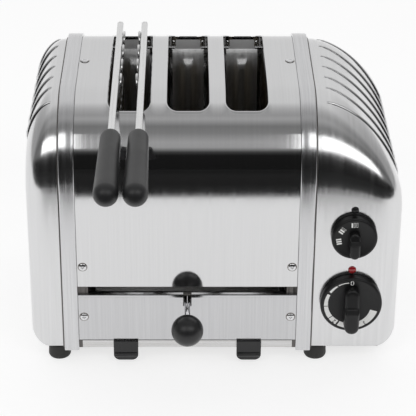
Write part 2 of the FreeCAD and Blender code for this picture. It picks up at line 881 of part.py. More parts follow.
for number in range(3):
    x = slot_x(number - 1)
    bar = box((f"{x} - rack_sheet / 2", "- rack_half", "rack_low"), "rack_sheet", "2 * rack_half",
              "rack_high - rack_low")
    posts = [
        box((f"{x} - rack_sheet / 2", f"{y} - bar_width / 2", "bar_high"), "rack_sheet", "bar_width",
            "rack_high - bar_high")
        for y in ("- bar_y", "bar_y")
    ]
    fingers = []
    for finger in range(int(size("rack_fingers"))):
        pitch = f"{finger} * ( 2 * rack_half - 5 * finger_wide ) / ( rack_fingers - 1 )"
        finger_y = f"- rack_half + 2 * finger_wide + {pitch}"
        finger_at = (f"{x} - finger_long / 2", finger_y, "rack_high - finger_sheet")
        fingers.append(box(finger_at, "finger_long", "finger_wide", "finger_sheet"))
    node(f"bread_rack_{number + 1}", fuse(bar, *posts, *fingers))


# controls on the right casting

knob_x = "cover_centre + control_x"


def knob(name, z, radius, grip_width, grip_high, grip_up):
    """A round knob with a bar grip that points down past its middle."""
    disc = cylinder((knob_x, "- casting_face - knob_gap - knob_thick", z), radius, "knob_thick", "+Y")
    grip_y = f"- casting_face - knob_gap - knob_thick - {grip_high}"
    grip_at = (f"{knob_x} - {grip_width} / 2", grip_y, f"{z} - {radius} + grip_rise")
    grip = box(grip_at, grip_width, grip_high, f"{radius} + {grip_up} - grip_rise")
    grip = rounded(grip, "grip_round", lambda e: abs(e.BoundBox.YLength) > 1)
    bore_at = (knob_x, "- casting_face - knob_gap - knob_bore_deep", z)
    bore = cylinder(bore_at, "spindle_radius", "knob_bore_deep + 1", "+Y")
    node(name, cut(fuse(disc, grip), bore))


for name in ("timer", "selector"):
    z = f"{name}_z"
    knob(f"{name}_knob", z, f"{name}_radius", f"{name}_grip_width", f"{name}_grip_high", f"{name}_grip_up")
    spindle_at = (knob_x, "- casting_face - knob_gap - knob_bore_deep", z)
    node(f"{name}_spindle", cylinder(spindle_at, "spindle_radius", "spindle_deep", "+Y"))
    wide, deep = f"{name}_body_size", f"{name}_body_deep"
    inside = "- casting_face + casting_wall + body_gap"
    block = box((f"{knob_x} - {wide} / 2", inside, f"{z} - {wide} / 2"), wide, deep, wide)
    bore = cylinder((knob_x, inside, z), "spindle_bore", "spindle_deep", "+Y")
    node(f"{name}_body", cut(block, bore))

for name in ("neon", "index"):
    at = (knob_x, "- casting_face", f"{name}_z")
    deep = "neon_deep" if name == "neon" else "casting_wall"
    stem = cylinder(at, f"{name}_stem", deep, "+Y")
    node("neon_lens" if name == "neon" else "index_stud",
         fuse(stem, cap(at, f"{name}_radius", "dome_high", "-Y")))


# mains inlet

gland_at = ("cover_centre + gland_x", "casting_face - casting_wall - 3", "gland_z")
gland = fuse(
    cylinder(gland_at, "gland_radius", "casting_wall + 3 + gland_out", "+Y"),
    cylinder(("cover_centre + gland_x", "casting_face", "gland_z"), "gland_flange", "3", "+Y"),
)
node("cable_gland", cut(gland, cylinder(gland_at, "gland_bore", "casting_wall + 3 + gland_out", "+Y")))
block_floor = "plate_low + casting_wall + body_gap"
block_at = ("cover_centre + gland_x - block_long / 2", "block_y", block_floor)
block = box(block_at, "block_long", "block_deep", "block_high")
hole_z = f"{block_floor} + block_high - block_hole_deep"
post_holes = [
    cylinder(
        (f"cover_centre + gland_x + {step} * block_hole_pitch", "block_y + block_deep / 2", hole_z),
        "block_hole", "block_hole_deep",
    )
    for step in (-1, 0, 1)
]
node("terminal_block", cut(block, fuse(*post_holes)))


# crumb tray with its two finger tabs

tray_floor = box(("cover_centre - tray_floor_half", "- cover_face", "tray_low"), "2 * tray_floor_half",
                 "cover_face + tray_back", "tray_sheet")
tray_front = box(("cover_centre - tray_half", "- cover_face", "tray_low"), "2 * tray_half", "tray_sheet",
                 "tray_front - tray_low")
tray_back = box(("cover_centre - tray_floor_half", "tray_back - tray_sheet", "tray_low"),
                "2 * tray_floor_half", "tray_sheet", "tray_wall - tray_low")
tray_sides = [
    box((x, "- cover_face", "tray_low"), "tray_sheet", "cover_face + tray_back", "tray_wall - tray_low")
    for x in ("cover_centre - tray_floor_half", "cover_centre + tray_floor_half - tray_sheet")
]
node("crumb_tray", fuse(tray_floor, tray_front, tray_back, *tray_sides))
for side_name, sign in (("left", "-"), ("right", "+")):
    x = f"cover_centre {sign} tab_x - tab_width / 2"
    tab = box((x, "- cover_face - tab_sheet", "tab_low"), "tab_width", "tab_sheet", "tray_front - tab_low")
    lowest = size("tab_low") + 1
    tab = rounded(tab, "tab_round", lambda e: e.BoundBox.YLength > 1 and e.BoundBox.ZMax < lowest)
    curl = cylinder((f"{x} + 1", "- cover_face - tab_sheet", "tab_curl_z"), "tab_curl", "tab_width - 2", "+X")
    node(f"tray_tab_{side_name}", fuse(tab, curl))


# sandwich cage: two halves hinged along their bottom edge

hinge_x = "cover_centre + ( strap_left + strap_right ) / 2"
hinge_at = (hinge_x, "- knuckle_y_left - knuckle_long", "cage_hinge_z")
pin_long = "2 * ( knuckle_y_left + knuckle_long )"
node("cage_pin", cylinder(hinge_at, "cage_pin", pin_long, "+Y"))


def cage_half(side_name, bore_name):
    """A strap above, upright wires, a bottom wire, and knuckles on the hinge pin."""
    x = f"cover_centre + strap_{side_name}"
    strap = box((f"{x} - strap_width / 2", "strap_front", "strap_low"), "strap_width",
                "strap_back - strap_front", "strap_high - strap_low")
    strap = rounded(strap, "strap_round", lambda e: e.BoundBox.ZLength > 1 and e.BoundBox.YMin > 50)
    pieces = [strap, cylinder((x, "- cage_half", "cage_hinge_z"), "cage_rod", "2 * cage_half", "+Y")]
    for wire in range(int(size("cage_wires"))):
        y = f"- cage_half + 1 + {wire} * ( 2 * cage_half - 2 ) / ( cage_wires - 1 )"
        pieces.append(cylinder((x, y, "cage_hinge_z"), "cage_wire", "strap_low - cage_hinge_z + 1"))
    bore = cylinder(hinge_at, bore_name, pin_long, "+Y")
    for middle in (f"- knuckle_y_{side_name}", f"knuckle_y_{side_name}"):
        low_y = f"{middle} - knuckle_long / 2"
        ring = cylinder((hinge_x, low_y, "cage_hinge_z"), "cage_knuckle", "knuckle_long", "+Y")
        link_x = x if side_name == "left" else hinge_x
        link = box((link_x, low_y, "cage_hinge_z - cage_link"), "( strap_right - strap_left ) / 2",
                   "knuckle_long", "2 * cage_link")
        pieces.append(cut(fuse(ring, link), bore))
    half = fuse(*pieces)
    half.Refine = False
    node(f"cage_half_{side_name}", half)
    z = "( strap_low + strap_high ) / 2"
    grip = cone((x, "handle_back", z), "handle_thin", "handle_thick", "handle_back - handle_front", "-Y")
    handle = fuse(grip, ball((x, "handle_front", z), "handle_thick"))
    node(f"cage_handle_{side_name}", cut(handle, strap))


cage_half("left", "cage_pin")
cage_half("right", "cage_pin_bore")


# check and write

doc.recompute()
faults = [o.Name for o in doc.Objects if set(o.State) & {"Invalid", "Error"}]
for name, thing in nodes.items():
    shape = thing.Shape
    if shape.isNull() or not shape.isValid() or not shape.Solids:
        faults.append(name)
if faults:
    raise ValueError(f"these objects failed: {faults}")
os.makedirs("parts", exist_ok=True)
for name, thing in nodes.items():
    thing.Shape.exportStep(f"parts/{name}.step")
print(len(nodes), "nodes written")
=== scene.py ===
import math
import bmesh
import bpy
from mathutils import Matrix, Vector


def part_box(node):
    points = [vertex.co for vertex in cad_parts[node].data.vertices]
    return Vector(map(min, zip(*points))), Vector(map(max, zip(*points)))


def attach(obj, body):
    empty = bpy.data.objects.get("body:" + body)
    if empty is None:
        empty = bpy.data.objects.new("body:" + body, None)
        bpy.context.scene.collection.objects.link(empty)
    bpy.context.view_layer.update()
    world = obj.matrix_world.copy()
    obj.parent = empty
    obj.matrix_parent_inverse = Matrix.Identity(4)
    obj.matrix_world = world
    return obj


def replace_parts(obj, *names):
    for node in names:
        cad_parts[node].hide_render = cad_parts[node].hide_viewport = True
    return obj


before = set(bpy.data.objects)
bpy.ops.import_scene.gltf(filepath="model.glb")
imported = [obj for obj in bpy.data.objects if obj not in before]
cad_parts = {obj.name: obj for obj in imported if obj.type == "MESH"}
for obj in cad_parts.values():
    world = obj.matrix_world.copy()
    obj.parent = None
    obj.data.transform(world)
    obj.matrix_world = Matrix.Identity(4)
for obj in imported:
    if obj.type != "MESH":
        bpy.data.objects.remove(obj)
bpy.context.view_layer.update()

mm = 0.001
scene = bpy.context.scene

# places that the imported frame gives
coverLow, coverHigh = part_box("top_cover")
middleX = (coverLow.x + coverHigh.x) / 2


# materials
def addNode(tree, kind, spot=(0, 0), **values):
    node = tree.nodes.new(kind)
    node.location = spot
    for name, value in values.items():
        setattr(node, name, value)
    return node


def startGroup(name, inputs, outputs):
    tree = bpy.data.node_groups.new(name, "ShaderNodeTree")
    for label, kind, value in inputs:
        socket = tree.interface.new_socket(label, in_out="INPUT", socket_type=kind)
        socket.default_value = value
    for label, kind in outputs:
        tree.interface.new_socket(label, in_out="OUTPUT", socket_type=kind)
    return tree, addNode(tree, "NodeGroupInput", (-900, 0)), addNode(tree, "NodeGroupOutput", (700, 0))


def makeBrushGroup():
    # fine lines left by a belt: long along one axis, close together across it
    tree, given, out = startGroup(
        "beltLines",
        [("Stretch", "NodeSocketVector", (1, 1, 1)), ("Detail", "NodeSocketFloat", 6.0)],
        [("Height", "NodeSocketFloat"), ("Tone", "NodeSocketFloat")],
    )
    coord = addNode(tree, "ShaderNodeTexCoord", (-900, 300))
    scale = addNode(tree, "ShaderNodeVectorMath", (-650, 200), operation="MULTIPLY")
    fine = addNode(tree, "ShaderNodeTexNoise", (-400, 300))
    broad = addNode(tree, "ShaderNodeTexNoise", (-400, -50))
    fine.inputs["Scale"].default_value = 1.0
    broad.inputs["Scale"].default_value = 0.12
    broad.inputs["Detail"].default_value = 3.0
    tree.links.new(coord.outputs["Object"], scale.inputs[0])
    tree.links.new(given.outputs["Stretch"], scale.inputs[1])
    tree.links.new(scale.outputs[0], fine.inputs["Vector"])
    tree.links.new(scale.outputs[0], broad.inputs["Vector"])
    tree.links.new(given.outputs["Detail"], fine.inputs["Detail"])
    blend = addNode(tree, "ShaderNodeMath", (0, 150), operation="MULTIPLY_ADD")
    blend.inputs[1].default_value = 0.6
    tree.links.new(broad.outputs["Fac"], blend.inputs[0])
    tree.links.new(fine.outputs["Fac"], blend.inputs[2])
    tree.links.new(blend.outputs[0], out.inputs["Height"])
    tree.links.new(fine.outputs["Fac"], out.inputs["Tone"])
    return tree


def makeHandledGroup():
    # faint smears where hands and cloths go, and a little dust in soft patches
    tree, given, out = startGroup(
        "handledMarks",
        [("Size", "NodeSocketFloat", 14.0), ("Amount", "NodeSocketFloat", 0.5)],
        [("Mask", "NodeSocketFloat")],
    )
    coord = addNode(tree, "ShaderNodeTexCoord", (-900, 300))
    cloud = addNode(tree, "ShaderNodeTexNoise", (-600, 200))
    cloud.inputs["Detail"].default_value = 5.0
    cloud.inputs["Roughness"].default_value = 0.62
    cloud.inputs["Distortion"].default_value = 0.8
    ramp = addNode(tree, "ShaderNodeMapRange", (-300, 200))
    ramp.inputs["From Min"].default_value = 0.42
    ramp.inputs["From Max"].default_value = 0.78
    times = addNode(tree, "ShaderNodeMath", (0, 100), operation="MULTIPLY")
    tree.links.new(coord.outputs["Object"], cloud.inputs["Vector"])
    tree.links.new(given.outputs["Size"], cloud.inputs["Scale"])
    tree.links.new(cloud.outputs["Fac"], ramp.inputs["Value"])
    tree.links.new(ramp.outputs["Result"], times.inputs[0])
    tree.links.new(given.outputs["Amount"], times.inputs[1])
    tree.links.new(times.outputs[0], out.inputs["Mask"])
    return tree


def makeGrainGroup():
    # the tooth of moulded plastic and rubber
    tree, given, out = startGroup(
        "mouldGrain",
        [("Size", "NodeSocketFloat", 2500.0), ("Wear", "NodeSocketFloat", 0.3)],
        [("Height", "NodeSocketFloat"), ("Rubbed", "NodeSocketFloat")],
    )
    coord = addNode(tree, "ShaderNodeTexCoord", (-900, 300))
    tooth = addNode(tree, "ShaderNodeTexVoronoi", (-600, 300))
    patch = addNode(tree, "ShaderNodeTexNoise", (-600, 0))
    patch.inputs["Scale"].default_value = 60.0
    patch.inputs["Detail"].default_value = 4.0
    rubbed = addNode(tree, "ShaderNodeMath", (-200, 0), operation="MULTIPLY")
    tree.links.new(coord.outputs["Object"], tooth.inputs["Vector"])
    tree.links.new(coord.outputs["Object"], patch.inputs["Vector"])
    tree.links.new(given.outputs["Size"], tooth.inputs["Scale"])
    tree.links.new(patch.outputs["Fac"], rubbed.inputs[0])
    tree.links.new(given.outputs["Wear"], rubbed.inputs[1])
    tree.links.new(tooth.outputs["Distance"], out.inputs["Height"])
    tree.links.new(rubbed.outputs[0], out.inputs["Rubbed"])
    return tree


beltLines = makeBrushGroup()
handledMarks = makeHandledGroup()
mouldGrain = makeGrainGroup()


def startMaterial(name):
    material = bpy.data.materials.new(name)
    material.use_nodes = True
    tree = material.node_tree
    return material, tree, tree.nodes["Principled BSDF"]


def useGroup(tree, group, spot=(-900, 0), **values):
    node = addNode(tree, "ShaderNodeGroup", spot, node_tree=group)
    for name, value in values.items():
        node.inputs[name].default_value = value
    return node


def mapRange(tree, source, low, high, spot=(-350, 0), fromLow=0.0, fromHigh=1.0):
    node = addNode(tree, "ShaderNodeMapRange", spot)
    for name, value in (("From Min", fromLow), ("From Max", fromHigh), ("To Min", low), ("To Max", high)):
        node.inputs[name].default_value = value
    tree.links.new(source, node.inputs["Value"])
    return node.outputs["Result"]


def mixColours(tree, factor, first, second, spot=(-350, 250)):
    node = addNode(tree, "ShaderNodeMix", spot, data_type="RGBA")
    tree.links.new(factor, node.inputs[0])
    node.inputs[6].default_value = (*first, 1)
    node.inputs[7].default_value = (*second, 1)
    return node.outputs[2]


def addUp(tree, first, second, spot=(-200, -100)):
    node = addNode(tree, "ShaderNodeMath", spot, operation="ADD")
    tree.links.new(first, node.inputs[0])
    tree.links.new(second, node.inputs[1])
    return node.outputs[0]


def addBump(tree, shader, height, strength, distance):
    bump = addNode(tree, "ShaderNodeBump", (-200, -350))
    bump.inputs["Strength"].default_value = strength
    bump.inputs["Distance"].default_value = distance
    tree.links.new(height, bump.inputs["Height"])
    tree.links.new(bump.outputs["Normal"], shader.inputs["Normal"])
    return bump


def makeSteel(name, look):
    material, tree, shader = startMaterial(name)
    lines = useGroup(tree, beltLines, (-1000, 200), Stretch=look["stretch"], Detail=look.get("detail", 5.0))
    marks = useGroup(tree, handledMarks, (-1000, -200), Size=14.0, Amount=look["marks"])
    shader.inputs["Metallic"].default_value = 1.0
    tone = mapRange(tree, lines.outputs["Tone"], 0.0, 1.0, (-700, 300), 0.3, 0.7)
    tree.links.new(mixColours(tree, tone, look["dark"], look["light"]), shader.inputs["Base Color"])
    base = mapRange(tree, lines.outputs["Tone"], look["smooth"], look["rough"], (-700, 0), 0.3, 0.7)
    smear = mapRange(tree, marks.outputs["Mask"], 0.0, look.get("smear", 0.1), (-700, -200))
    tree.links.new(addUp(tree, base, smear), shader.inputs["Roughness"])
    addBump(tree, shader, lines.outputs["Height"], look["relief"], 0.00005)
    return material


def makePlastic(name, look):
    material, tree, shader = startMaterial(name)
    size, wear = look.get("grain", 2500.0), look.get("wear", 0.4)
    grain = useGroup(tree, mouldGrain, (-1000, 100), Size=size, Wear=wear)
    marks = useGroup(tree, handledMarks, (-1000, -200), Size=30.0, Amount=0.5)
    tree.links.new(
        mixColours(tree, grain.outputs["Rubbed"], look["colour"], look["rubbed"]), shader.inputs["Base Color"]
    )
    rough = mapRange(tree, marks.outputs["Mask"], look["rough"], look["rough"] + look.get("spread", 0.15))
    tree.links.new(rough, shader.inputs["Roughness"])
    shader.inputs["Specular IOR Level"].default_value = look.get("specular", 0.5)
    addBump(tree, shader, grain.outputs["Height"], look.get("relief", 0.25), 0.00006)
    return material


steelLooks = {
    "coverSteel": dict(stretch=(700, 9, 9), dark=(0.66, 0.66, 0.665), light=(0.69, 0.69, 0.695),
                       smooth=0.045, rough=0.085, marks=0.35, smear=0.05, relief=0.018),
    "bandSteel": dict(stretch=(900, 14, 14), dark=(0.60, 0.60, 0.61), light=(0.68, 0.68, 0.69),
                      smooth=0.13, rough=0.22, marks=0.3, smear=0.08, relief=0.08),
    "castingPolish": dict(stretch=(500, 12, 12), dark=(0.67, 0.67, 0.675), light=(0.72, 0.72, 0.725),
                          smooth=0.13, rough=0.21, marks=0.4, smear=0.08, relief=0.05, detail=2.0),
    "panelSteel": dict(stretch=(800, 12, 12), dark=(0.56, 0.56, 0.57), light=(0.61, 0.61, 0.62),
                       smooth=0.12, rough=0.2, marks=0.3, smear=0.08, relief=0.08),
    "guideSteel": dict(stretch=(300, 300, 20), dark=(0.66, 0.66, 0.66), light=(0.86, 0.86, 0.86),
                       smooth=0.28, rough=0.42, marks=0.8, smear=0.12, relief=0.2),
    "traySteel": dict(stretch=(10, 1000, 1000), dark=(0.58, 0.57, 0.56), light=(0.72, 0.72, 0.72),
                      smooth=0.2, rough=0.34, marks=0.6, smear=0.12, relief=0.25),
    "innerSteel": dict(stretch=(300, 300, 60), dark=(0.10, 0.095, 0.09), light=(0.20, 0.19, 0.185),
                       smooth=0.30, rough=0.48, marks=0.7, smear=0.15, relief=0.3),
    "guardSteel": dict(stretch=(200, 40, 200), dark=(0.10, 0.085, 0.07), light=(0.26, 0.23, 0.20),
                       smooth=0.25, rough=0.42, marks=0.6, smear=0.15, relief=0.2),
    "strapSteel": dict(stretch=(700, 12, 700), dark=(0.72, 0.72, 0.72), light=(0.86, 0.86, 0.86),
                       smooth=0.22, rough=0.36, marks=0.4, smear=0.10, relief=0.3),
    "wireBright": dict(stretch=(200, 200, 200), dark=(0.60, 0.60, 0.60), light=(0.78, 0.78, 0.78),
                       smooth=0.10, rough=0.2, marks=0.6, smear=0.12, relief=0.1),
    "chromePlate": dict(stretch=(40, 40, 40), dark=(0.78, 0.78, 0.80), light=(0.84, 0.84, 0.86),
                        smooth=0.04, rough=0.09, marks=0.4, smear=0.07, relief=0.04),
    "screwSteel": dict(stretch=(400, 400, 400), dark=(0.66, 0.66, 0.67), light=(0.80, 0.80, 0.81),
                       smooth=0.12, rough=0.24, marks=0.4, smear=0.10, relief=0.2),
    "heaterRibbon": dict(stretch=(200, 30, 200), dark=(0.12, 0.10, 0.09), light=(0.28, 0.25, 0.23),
                         smooth=0.45, rough=0.6, marks=0.5, smear=0.15, relief=0.2),
}
plasticLooks = {
    "knobBlack": dict(colour=(0.006, 0.006, 0.0065), rubbed=(0.02, 0.02, 0.02), rough=0.34, relief=0.10,
                      specular=0.35),
    "ballBlack": dict(colour=(0.012, 0.012, 0.013), rubbed=(0.03, 0.03, 0.03), rough=0.34, relief=0.06),
    "handleBlack": dict(colour=(0.012, 0.012, 0.013), rubbed=(0.035, 0.035, 0.036), rough=0.40, relief=0.35,
                        grain=1600.0),
    "tabBlack": dict(colour=(0.009, 0.009, 0.010), rubbed=(0.03, 0.03, 0.03), rough=0.26, relief=0.15),
    "footRubber": dict(colour=(0.014, 0.014, 0.014), rubbed=(0.06, 0.058, 0.055), rough=0.55, relief=0.4,
                       grain=1300.0, wear=0.6, specular=0.35),
    "controlMoulding": dict(colour=(0.10, 0.10, 0.10), rubbed=(0.2, 0.2, 0.19), rough=0.5, relief=0.3),
    "galvanised": dict(colour=(0.60, 0.60, 0.605), rubbed=(0.72, 0.72, 0.72), rough=0.38, relief=0.5,
                       grain=700.0, wear=0.8),
    "micaSheet": dict(colour=(0.30, 0.26, 0.19), rubbed=(0.55, 0.5, 0.4), rough=0.35, relief=0.6, grain=300.0,
                      wear=0.9, spread=0.3),
    "printWhite": dict(colour=(0.92, 0.92, 0.90), rubbed=(0.8, 0.8, 0.79), rough=0.45, relief=0.1, wear=0.5),
    # painted shade for the louvre openings, which are not cut through the casting
    "slitPaintedShade": dict(colour=(0.004, 0.004, 0.004), rubbed=(0.012, 0.012, 0.012), rough=0.8, relief=0.3,
                      specular=0.1),
}
finish = {name: makeSteel(name, look) for name, look in steelLooks.items()}
finish.update({name: makePlastic(name, look) for name, look in plasticLooks.items()})


def makeLampRed():
    material, tree, shader = startMaterial("lampRed")
    marks = useGroup(tree, handledMarks, (-1000, -200), Size=260.0, Amount=0.8)
    tree.links.new(
        mixColours(tree, marks.outputs["Mask"], (0.30, 0.008, 0.012), (0.42, 0.03, 0.035)),
        shader.inputs["Base Color"],
    )
    tree.links.new(mapRange(tree, marks.outputs["Mask"], 0.08, 0.2), shader.inputs["Roughness"])
    shader.inputs["Coat Weight"].default_value = 0.6
    return material


finish["lampRed"] = makeLampRed()
print("materials made:", len(finish))


# shared ways of making a mesh
def makePiece(name, points, faces, material, body, sharpAngle=35.0):
    mesh = bpy.data.meshes.new(name)
    mesh.from_pydata([tuple(p) for p in points], [], faces)
    mesh.validate()
    mesh.update()
    return finishPiece(bpy.data.objects.new(name, mesh), material, body, sharpAngle)


def finishPiece(piece, material, body, sharpAngle=35.0):
    mesh = piece.data
    if material:
        mesh.materials.clear()
        mesh.materials.append(finish[material])
    mesh.polygons.foreach_set("use_smooth", [True] * len(mesh.polygons))
    mesh.set_sharp_from_angle(angle=math.radians(sharpAngle))
    if piece.name not in scene.collection.objects:
        scene.collection.objects.link(piece)
    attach(piece, body)
    return piece


def gridFaces(rows, columns, closedRows=False, closedColumns=False, flip=False):
    faces = []
    for i in range(rows if closedRows else rows - 1):
        for j in range(columns if closedColumns else columns - 1):
            a, b = i * columns + j, i * columns + (j + 1) % columns
            c, d = ((i + 1) % rows) * columns + (j + 1) % columns, ((i + 1) % rows) * columns + j
            faces.append((a, d, c, b) if flip else (a, b, c, d))
    return faces


def outwards(piece):
    # turns the faces of a closed mesh outwards
    shape = bmesh.new()
    shape.from_mesh(piece.data)
    bmesh.ops.remove_doubles(shape, verts=shape.verts, dist=1e-7)
    bmesh.ops.recalc_face_normals(shape, faces=shape.faces)
    shape.to_mesh(piece.data)
    shape.free()
    piece.data.update()


def settle(piece, sharpAngle=35.0):
    # keeps what the modifiers make as the plain mesh, with sharp edges marked on the result
    bpy.context.view_layer.update()
    made = bpy.data.meshes.new_from_object(piece.evaluated_get(bpy.context.evaluated_depsgraph_get()))
    piece.modifiers.clear()
    piece.data = made
    made.polygons.foreach_set("use_smooth", [True] * len(made.polygons))
    made.set_sharp_from_angle(angle=math.radians(sharpAngle))
    return piece


def lathe(name, outline, centre, axis, material, body, steps=48, sharpAngle=35.0):
    # outline holds (radius, distance along the axis) in millimetres; a radius of 0 closes an end
    outline = [(radius * mm, along * mm) for radius, along in outline]
    axis = Vector(axis).normalized()
    side = axis.orthogonal().normalized()
    other = axis.cross(side)
    points, rings = [], []
    for radius, along in outline:
        if radius < 1e-9:
            rings.append([len(points)])
            points.append(Vector(centre) + axis * along)
            continue
        rings.append(list(range(len(points), len(points) + steps)))
        for k in range(steps):
            turn = 2 * math.pi * k / steps
            out = side * math.cos(turn) + other * math.sin(turn)
            points.append(Vector(centre) + axis * along + out * radius)
    faces = []
    for first, second in zip(rings, rings[1:]):
        for k in range(steps):
            a, b = first[k % len(first)], first[(k + 1) % len(first)]
            c, d = second[(k + 1) % len(second)], second[k % len(second)]
            faces.append(tuple(dict.fromkeys((a, b, c, d))))
    piece = makePiece(name, points, faces, material, body, sharpAngle)
    outwards(piece)
    piece.data.set_sharp_from_angle(angle=math.radians(sharpAngle))
    return piece


def softenNode(name, bevel, material, body, newName=None):
    # a welded copy of a CAD node with its edges broken, in place of the node
    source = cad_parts[name]
    mesh = source.data.copy()
    piece = bpy.data.objects.new(newName or name + "_finished", mesh)
    outwards(piece)
    finishPiece(piece, material, body, 30.0)
    edge = piece.modifiers.new("brokenEdges", "BEVEL")
    edge.width = bevel
    edge.segments = 2
    edge.limit_method = "ANGLE"
    edge.angle_limit = math.radians(40)
    edge.harden_normals = True
    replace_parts(piece, name)
    return piece


# outlines of the casing
def archOutline(face, top, radius, low, wallSteps=14, bendSteps=30):
    # (y, z) from the low front edge over the top to the low back edge
    turns = [math.pi / 2 * k / bendSteps for k in range(bendSteps + 1)]
    rise = [(radius * (1 - math.cos(a)), radius * math.sin(a)) for a in turns]
    foot = top - radius
    wall = [(-face, low + (foot - low) * k / wallSteps) for k in range(wallSteps)]
    front = wall + [(-face + f, foot + u) for f, u in rise]
    flat = [(-face + radius + 2 * (face - radius) * k / 12, top) for k in range(1, 12)]
    return front + flat + [(-y, z) for y, z in reversed(front)]


def heightAt(outline, y):
    # height of the outline above y, on its upper side
    half = [(abs(a), b) for a, b in outline if a <= 0]
    half.sort()
    y = abs(y)
    for (y0, z0), (y1, z1) in zip(half, half[1:]):
        if y0 <= y <= y1 and y1 - y0 > 1e-9:
            return z0 + (z1 - z0) * (y - y0) / (y1 - y0)
    return half[-1][1]


# top cover with its three slots
coverLook = dict(
    face=101.5, top=217.5, low=70.7, radius=58.0, sheet=0.9,
    slotCentres=(-65.4, -20.4, 24.6), slotHalf=16.0, slotLong=73.0, slotRound=8.0, margin=3.6,
    rim=((2.6, 0.0), (1.9, 0.12), (1.3, 0.3), (0.8, 0.36), (0.35, 0.2), (0.08, -0.3), (0.0, -1.2),
         (0.0, -9.0)),
)


def nearestOnSlot(x, y, half, long, radius):
    # nearest point to (x, y) on a rounded rectangle about the origin, from outside, and the way out
    cx = max(-(half - radius), min(half - radius, x))
    cy = max(-(long - radius), min(long - radius, y))
    away = Vector((x - cx, y - cy))
    if away.length < 1e-9:
        away = Vector((1, 0))
    away.normalize()
    return Vector((cx, cy)) + away * radius, away


def makeCover(look):
    outline = archOutline(look["face"], look["top"], look["radius"], look["low"])
    low, high = coverLow.x / mm, coverHigh.x / mm
    half, long, margin = look["slotHalf"], look["slotLong"], look["margin"]
    columns = [low]
    for centre in look["slotCentres"]:
        start, end = centre - half - margin, centre + half + margin
        if start - columns[-1] > 9:
            columns += [columns[-1] + (start - columns[-1]) * k / 5 for k in range(1, 5)]
        columns += [start + (end - start) * k / 12 for k in range(13)]
    columns += [columns[-1] + (high - columns[-1]) * k / 5 for k in range(1, 6)]
    reach = long + margin
    inner = [-reach + 2 * reach * k / 44 for k in range(45)]
    front = [(y, z) for y, z in outline if y < -reach - 0.3 and z < look["top"] - 1]
    rows = front + [(y, heightAt(outline, y)) for y in inner] + [(-y, z) for y, z in reversed(front)]
    points, faces = [(x, y, z) for y, z in rows for x in columns], []
    wide, first = len(columns), len(front)

    def columnOf(x):
        return min(range(wide), key=lambda i: abs(columns[i] - x))

    spans = [(columnOf(c - half - margin), columnOf(c + half + margin)) for c in look["slotCentres"]]
    for i in range(len(rows) - 1):
        for j in range(wide - 1):
            if first <= i < first + 44 and any(a <= j < b for a, b in spans):
                continue
            faces.append((i * wide + j, i * wide + j + 1, (i + 1) * wide + j + 1, (i + 1) * wide + j))
    for (a, b), centre in zip(spans, look["slotCentres"]):
        last = first + 44
        loop = [first * wide + j for j in range(a, b)] + [i * wide + b for i in range(first, last)]
        loop += [last * wide + j for j in range(b, a, -1)] + [i * wide + a for i in range(last, first, -1)]
        count, previous = len(loop), loop
        for away, rise in look["rim"]:
            ring = []
            for index in loop:
                x, y, z = points[index]
                edge, out = nearestOnSlot(x - centre, y, half, long, look["slotRound"])
                spot = edge + out * away
                ring.append(len(points))
                points.append((centre + spot.x, spot.y, heightAt(outline, spot.y) + rise))
            for k in range(count):
                faces.append((previous[k], previous[(k + 1) % count], ring[(k + 1) % count], ring[k]))
            previous = ring
    scaled = [(x * mm, y * mm, z * mm) for x, y, z in points]
    piece = makePiece("topCover", scaled, faces, "coverSteel", "casing", 60.0)
    thick = piece.modifiers.new("sheetThickness", "SOLIDIFY")
    thick.thickness = look["sheet"] * mm
    thick.offset = -1.0
    settle(piece, 50)
    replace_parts(piece, "top_cover")
    return piece


cover = makeCover(coverLook)
print("cover made:", len(cover.data.polygons))


# the two bands
bandLook = dict(face=103.1, top=219.1, low=12.5, radius=58.0, sheet=2.5, round=0.8)


def makeBand(name, node, look):
    low, high = (corner.x / mm for corner in (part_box(node)[0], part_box(node)[1]))
    outer = archOutline(look["face"], look["top"], look["radius"], look["low"], 20)
    edge, thick = look["round"], look["sheet"]
    section = [(low, -thick), (low, -edge)]
    section += [(low + edge * (1 - math.cos(t)), -edge * (1 - math.sin(t))) for t in (0.5, 1.05)]
    section += [(low + edge, 0.0), ((low + high) / 2, 0.12), (high - edge, 0.0)]
    section += [(high - edge * (1 - math.cos(t)), -edge * (1 - math.sin(t))) for t in (1.05, 0.5)]
    section += [(high, -edge), (high, -thick)]
    points = []
    for i, (y, z) in enumerate(outer):
        before, after = outer[max(i - 1, 0)], outer[min(i + 1, len(outer) - 1)]
        along = Vector((after[0] - before[0], after[1] - before[1])).normalized()
        out = Vector((-along.y, along.x))
        points += [(x * mm, (y + out.x * d) * mm, (z + out.y * d) * mm) for x, d in section]
    faces = gridFaces(len(outer), len(section), closedColumns=True)
    count = len(section)
    faces += [tuple(range(count)), tuple(range((len(outer) - 1) * count, len(outer) * count))]
    piece = makePiece(name, points, faces, "bandSteel", "casing", 45.0)
    outwards(piece)
    piece.data.set_sharp_from_angle(angle=math.radians(45))
    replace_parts(piece, node)
    return piece


makeBand("bandLeft", "band_left", bandLook)
makeBand("bandRight", "band_right", bandLook)


# end castings
castingLooks = {
    "left": dict(side=-1, reach=22.5, drop=40.0, fullness=1.2, corner=17.0, foot=15.0),
    "right": dict(side=1, reach=63.0, drop=74.0, fullness=1.34, corner=19.0, foot=16.0),
}
castingShape = dict(
    face=100.3, top=215.4, low=13.7, radius=58.0, endRadius=12.0, tightening=0.72, wall=2.6, steps=26,
    half=145.5, wallSteps=24,
)


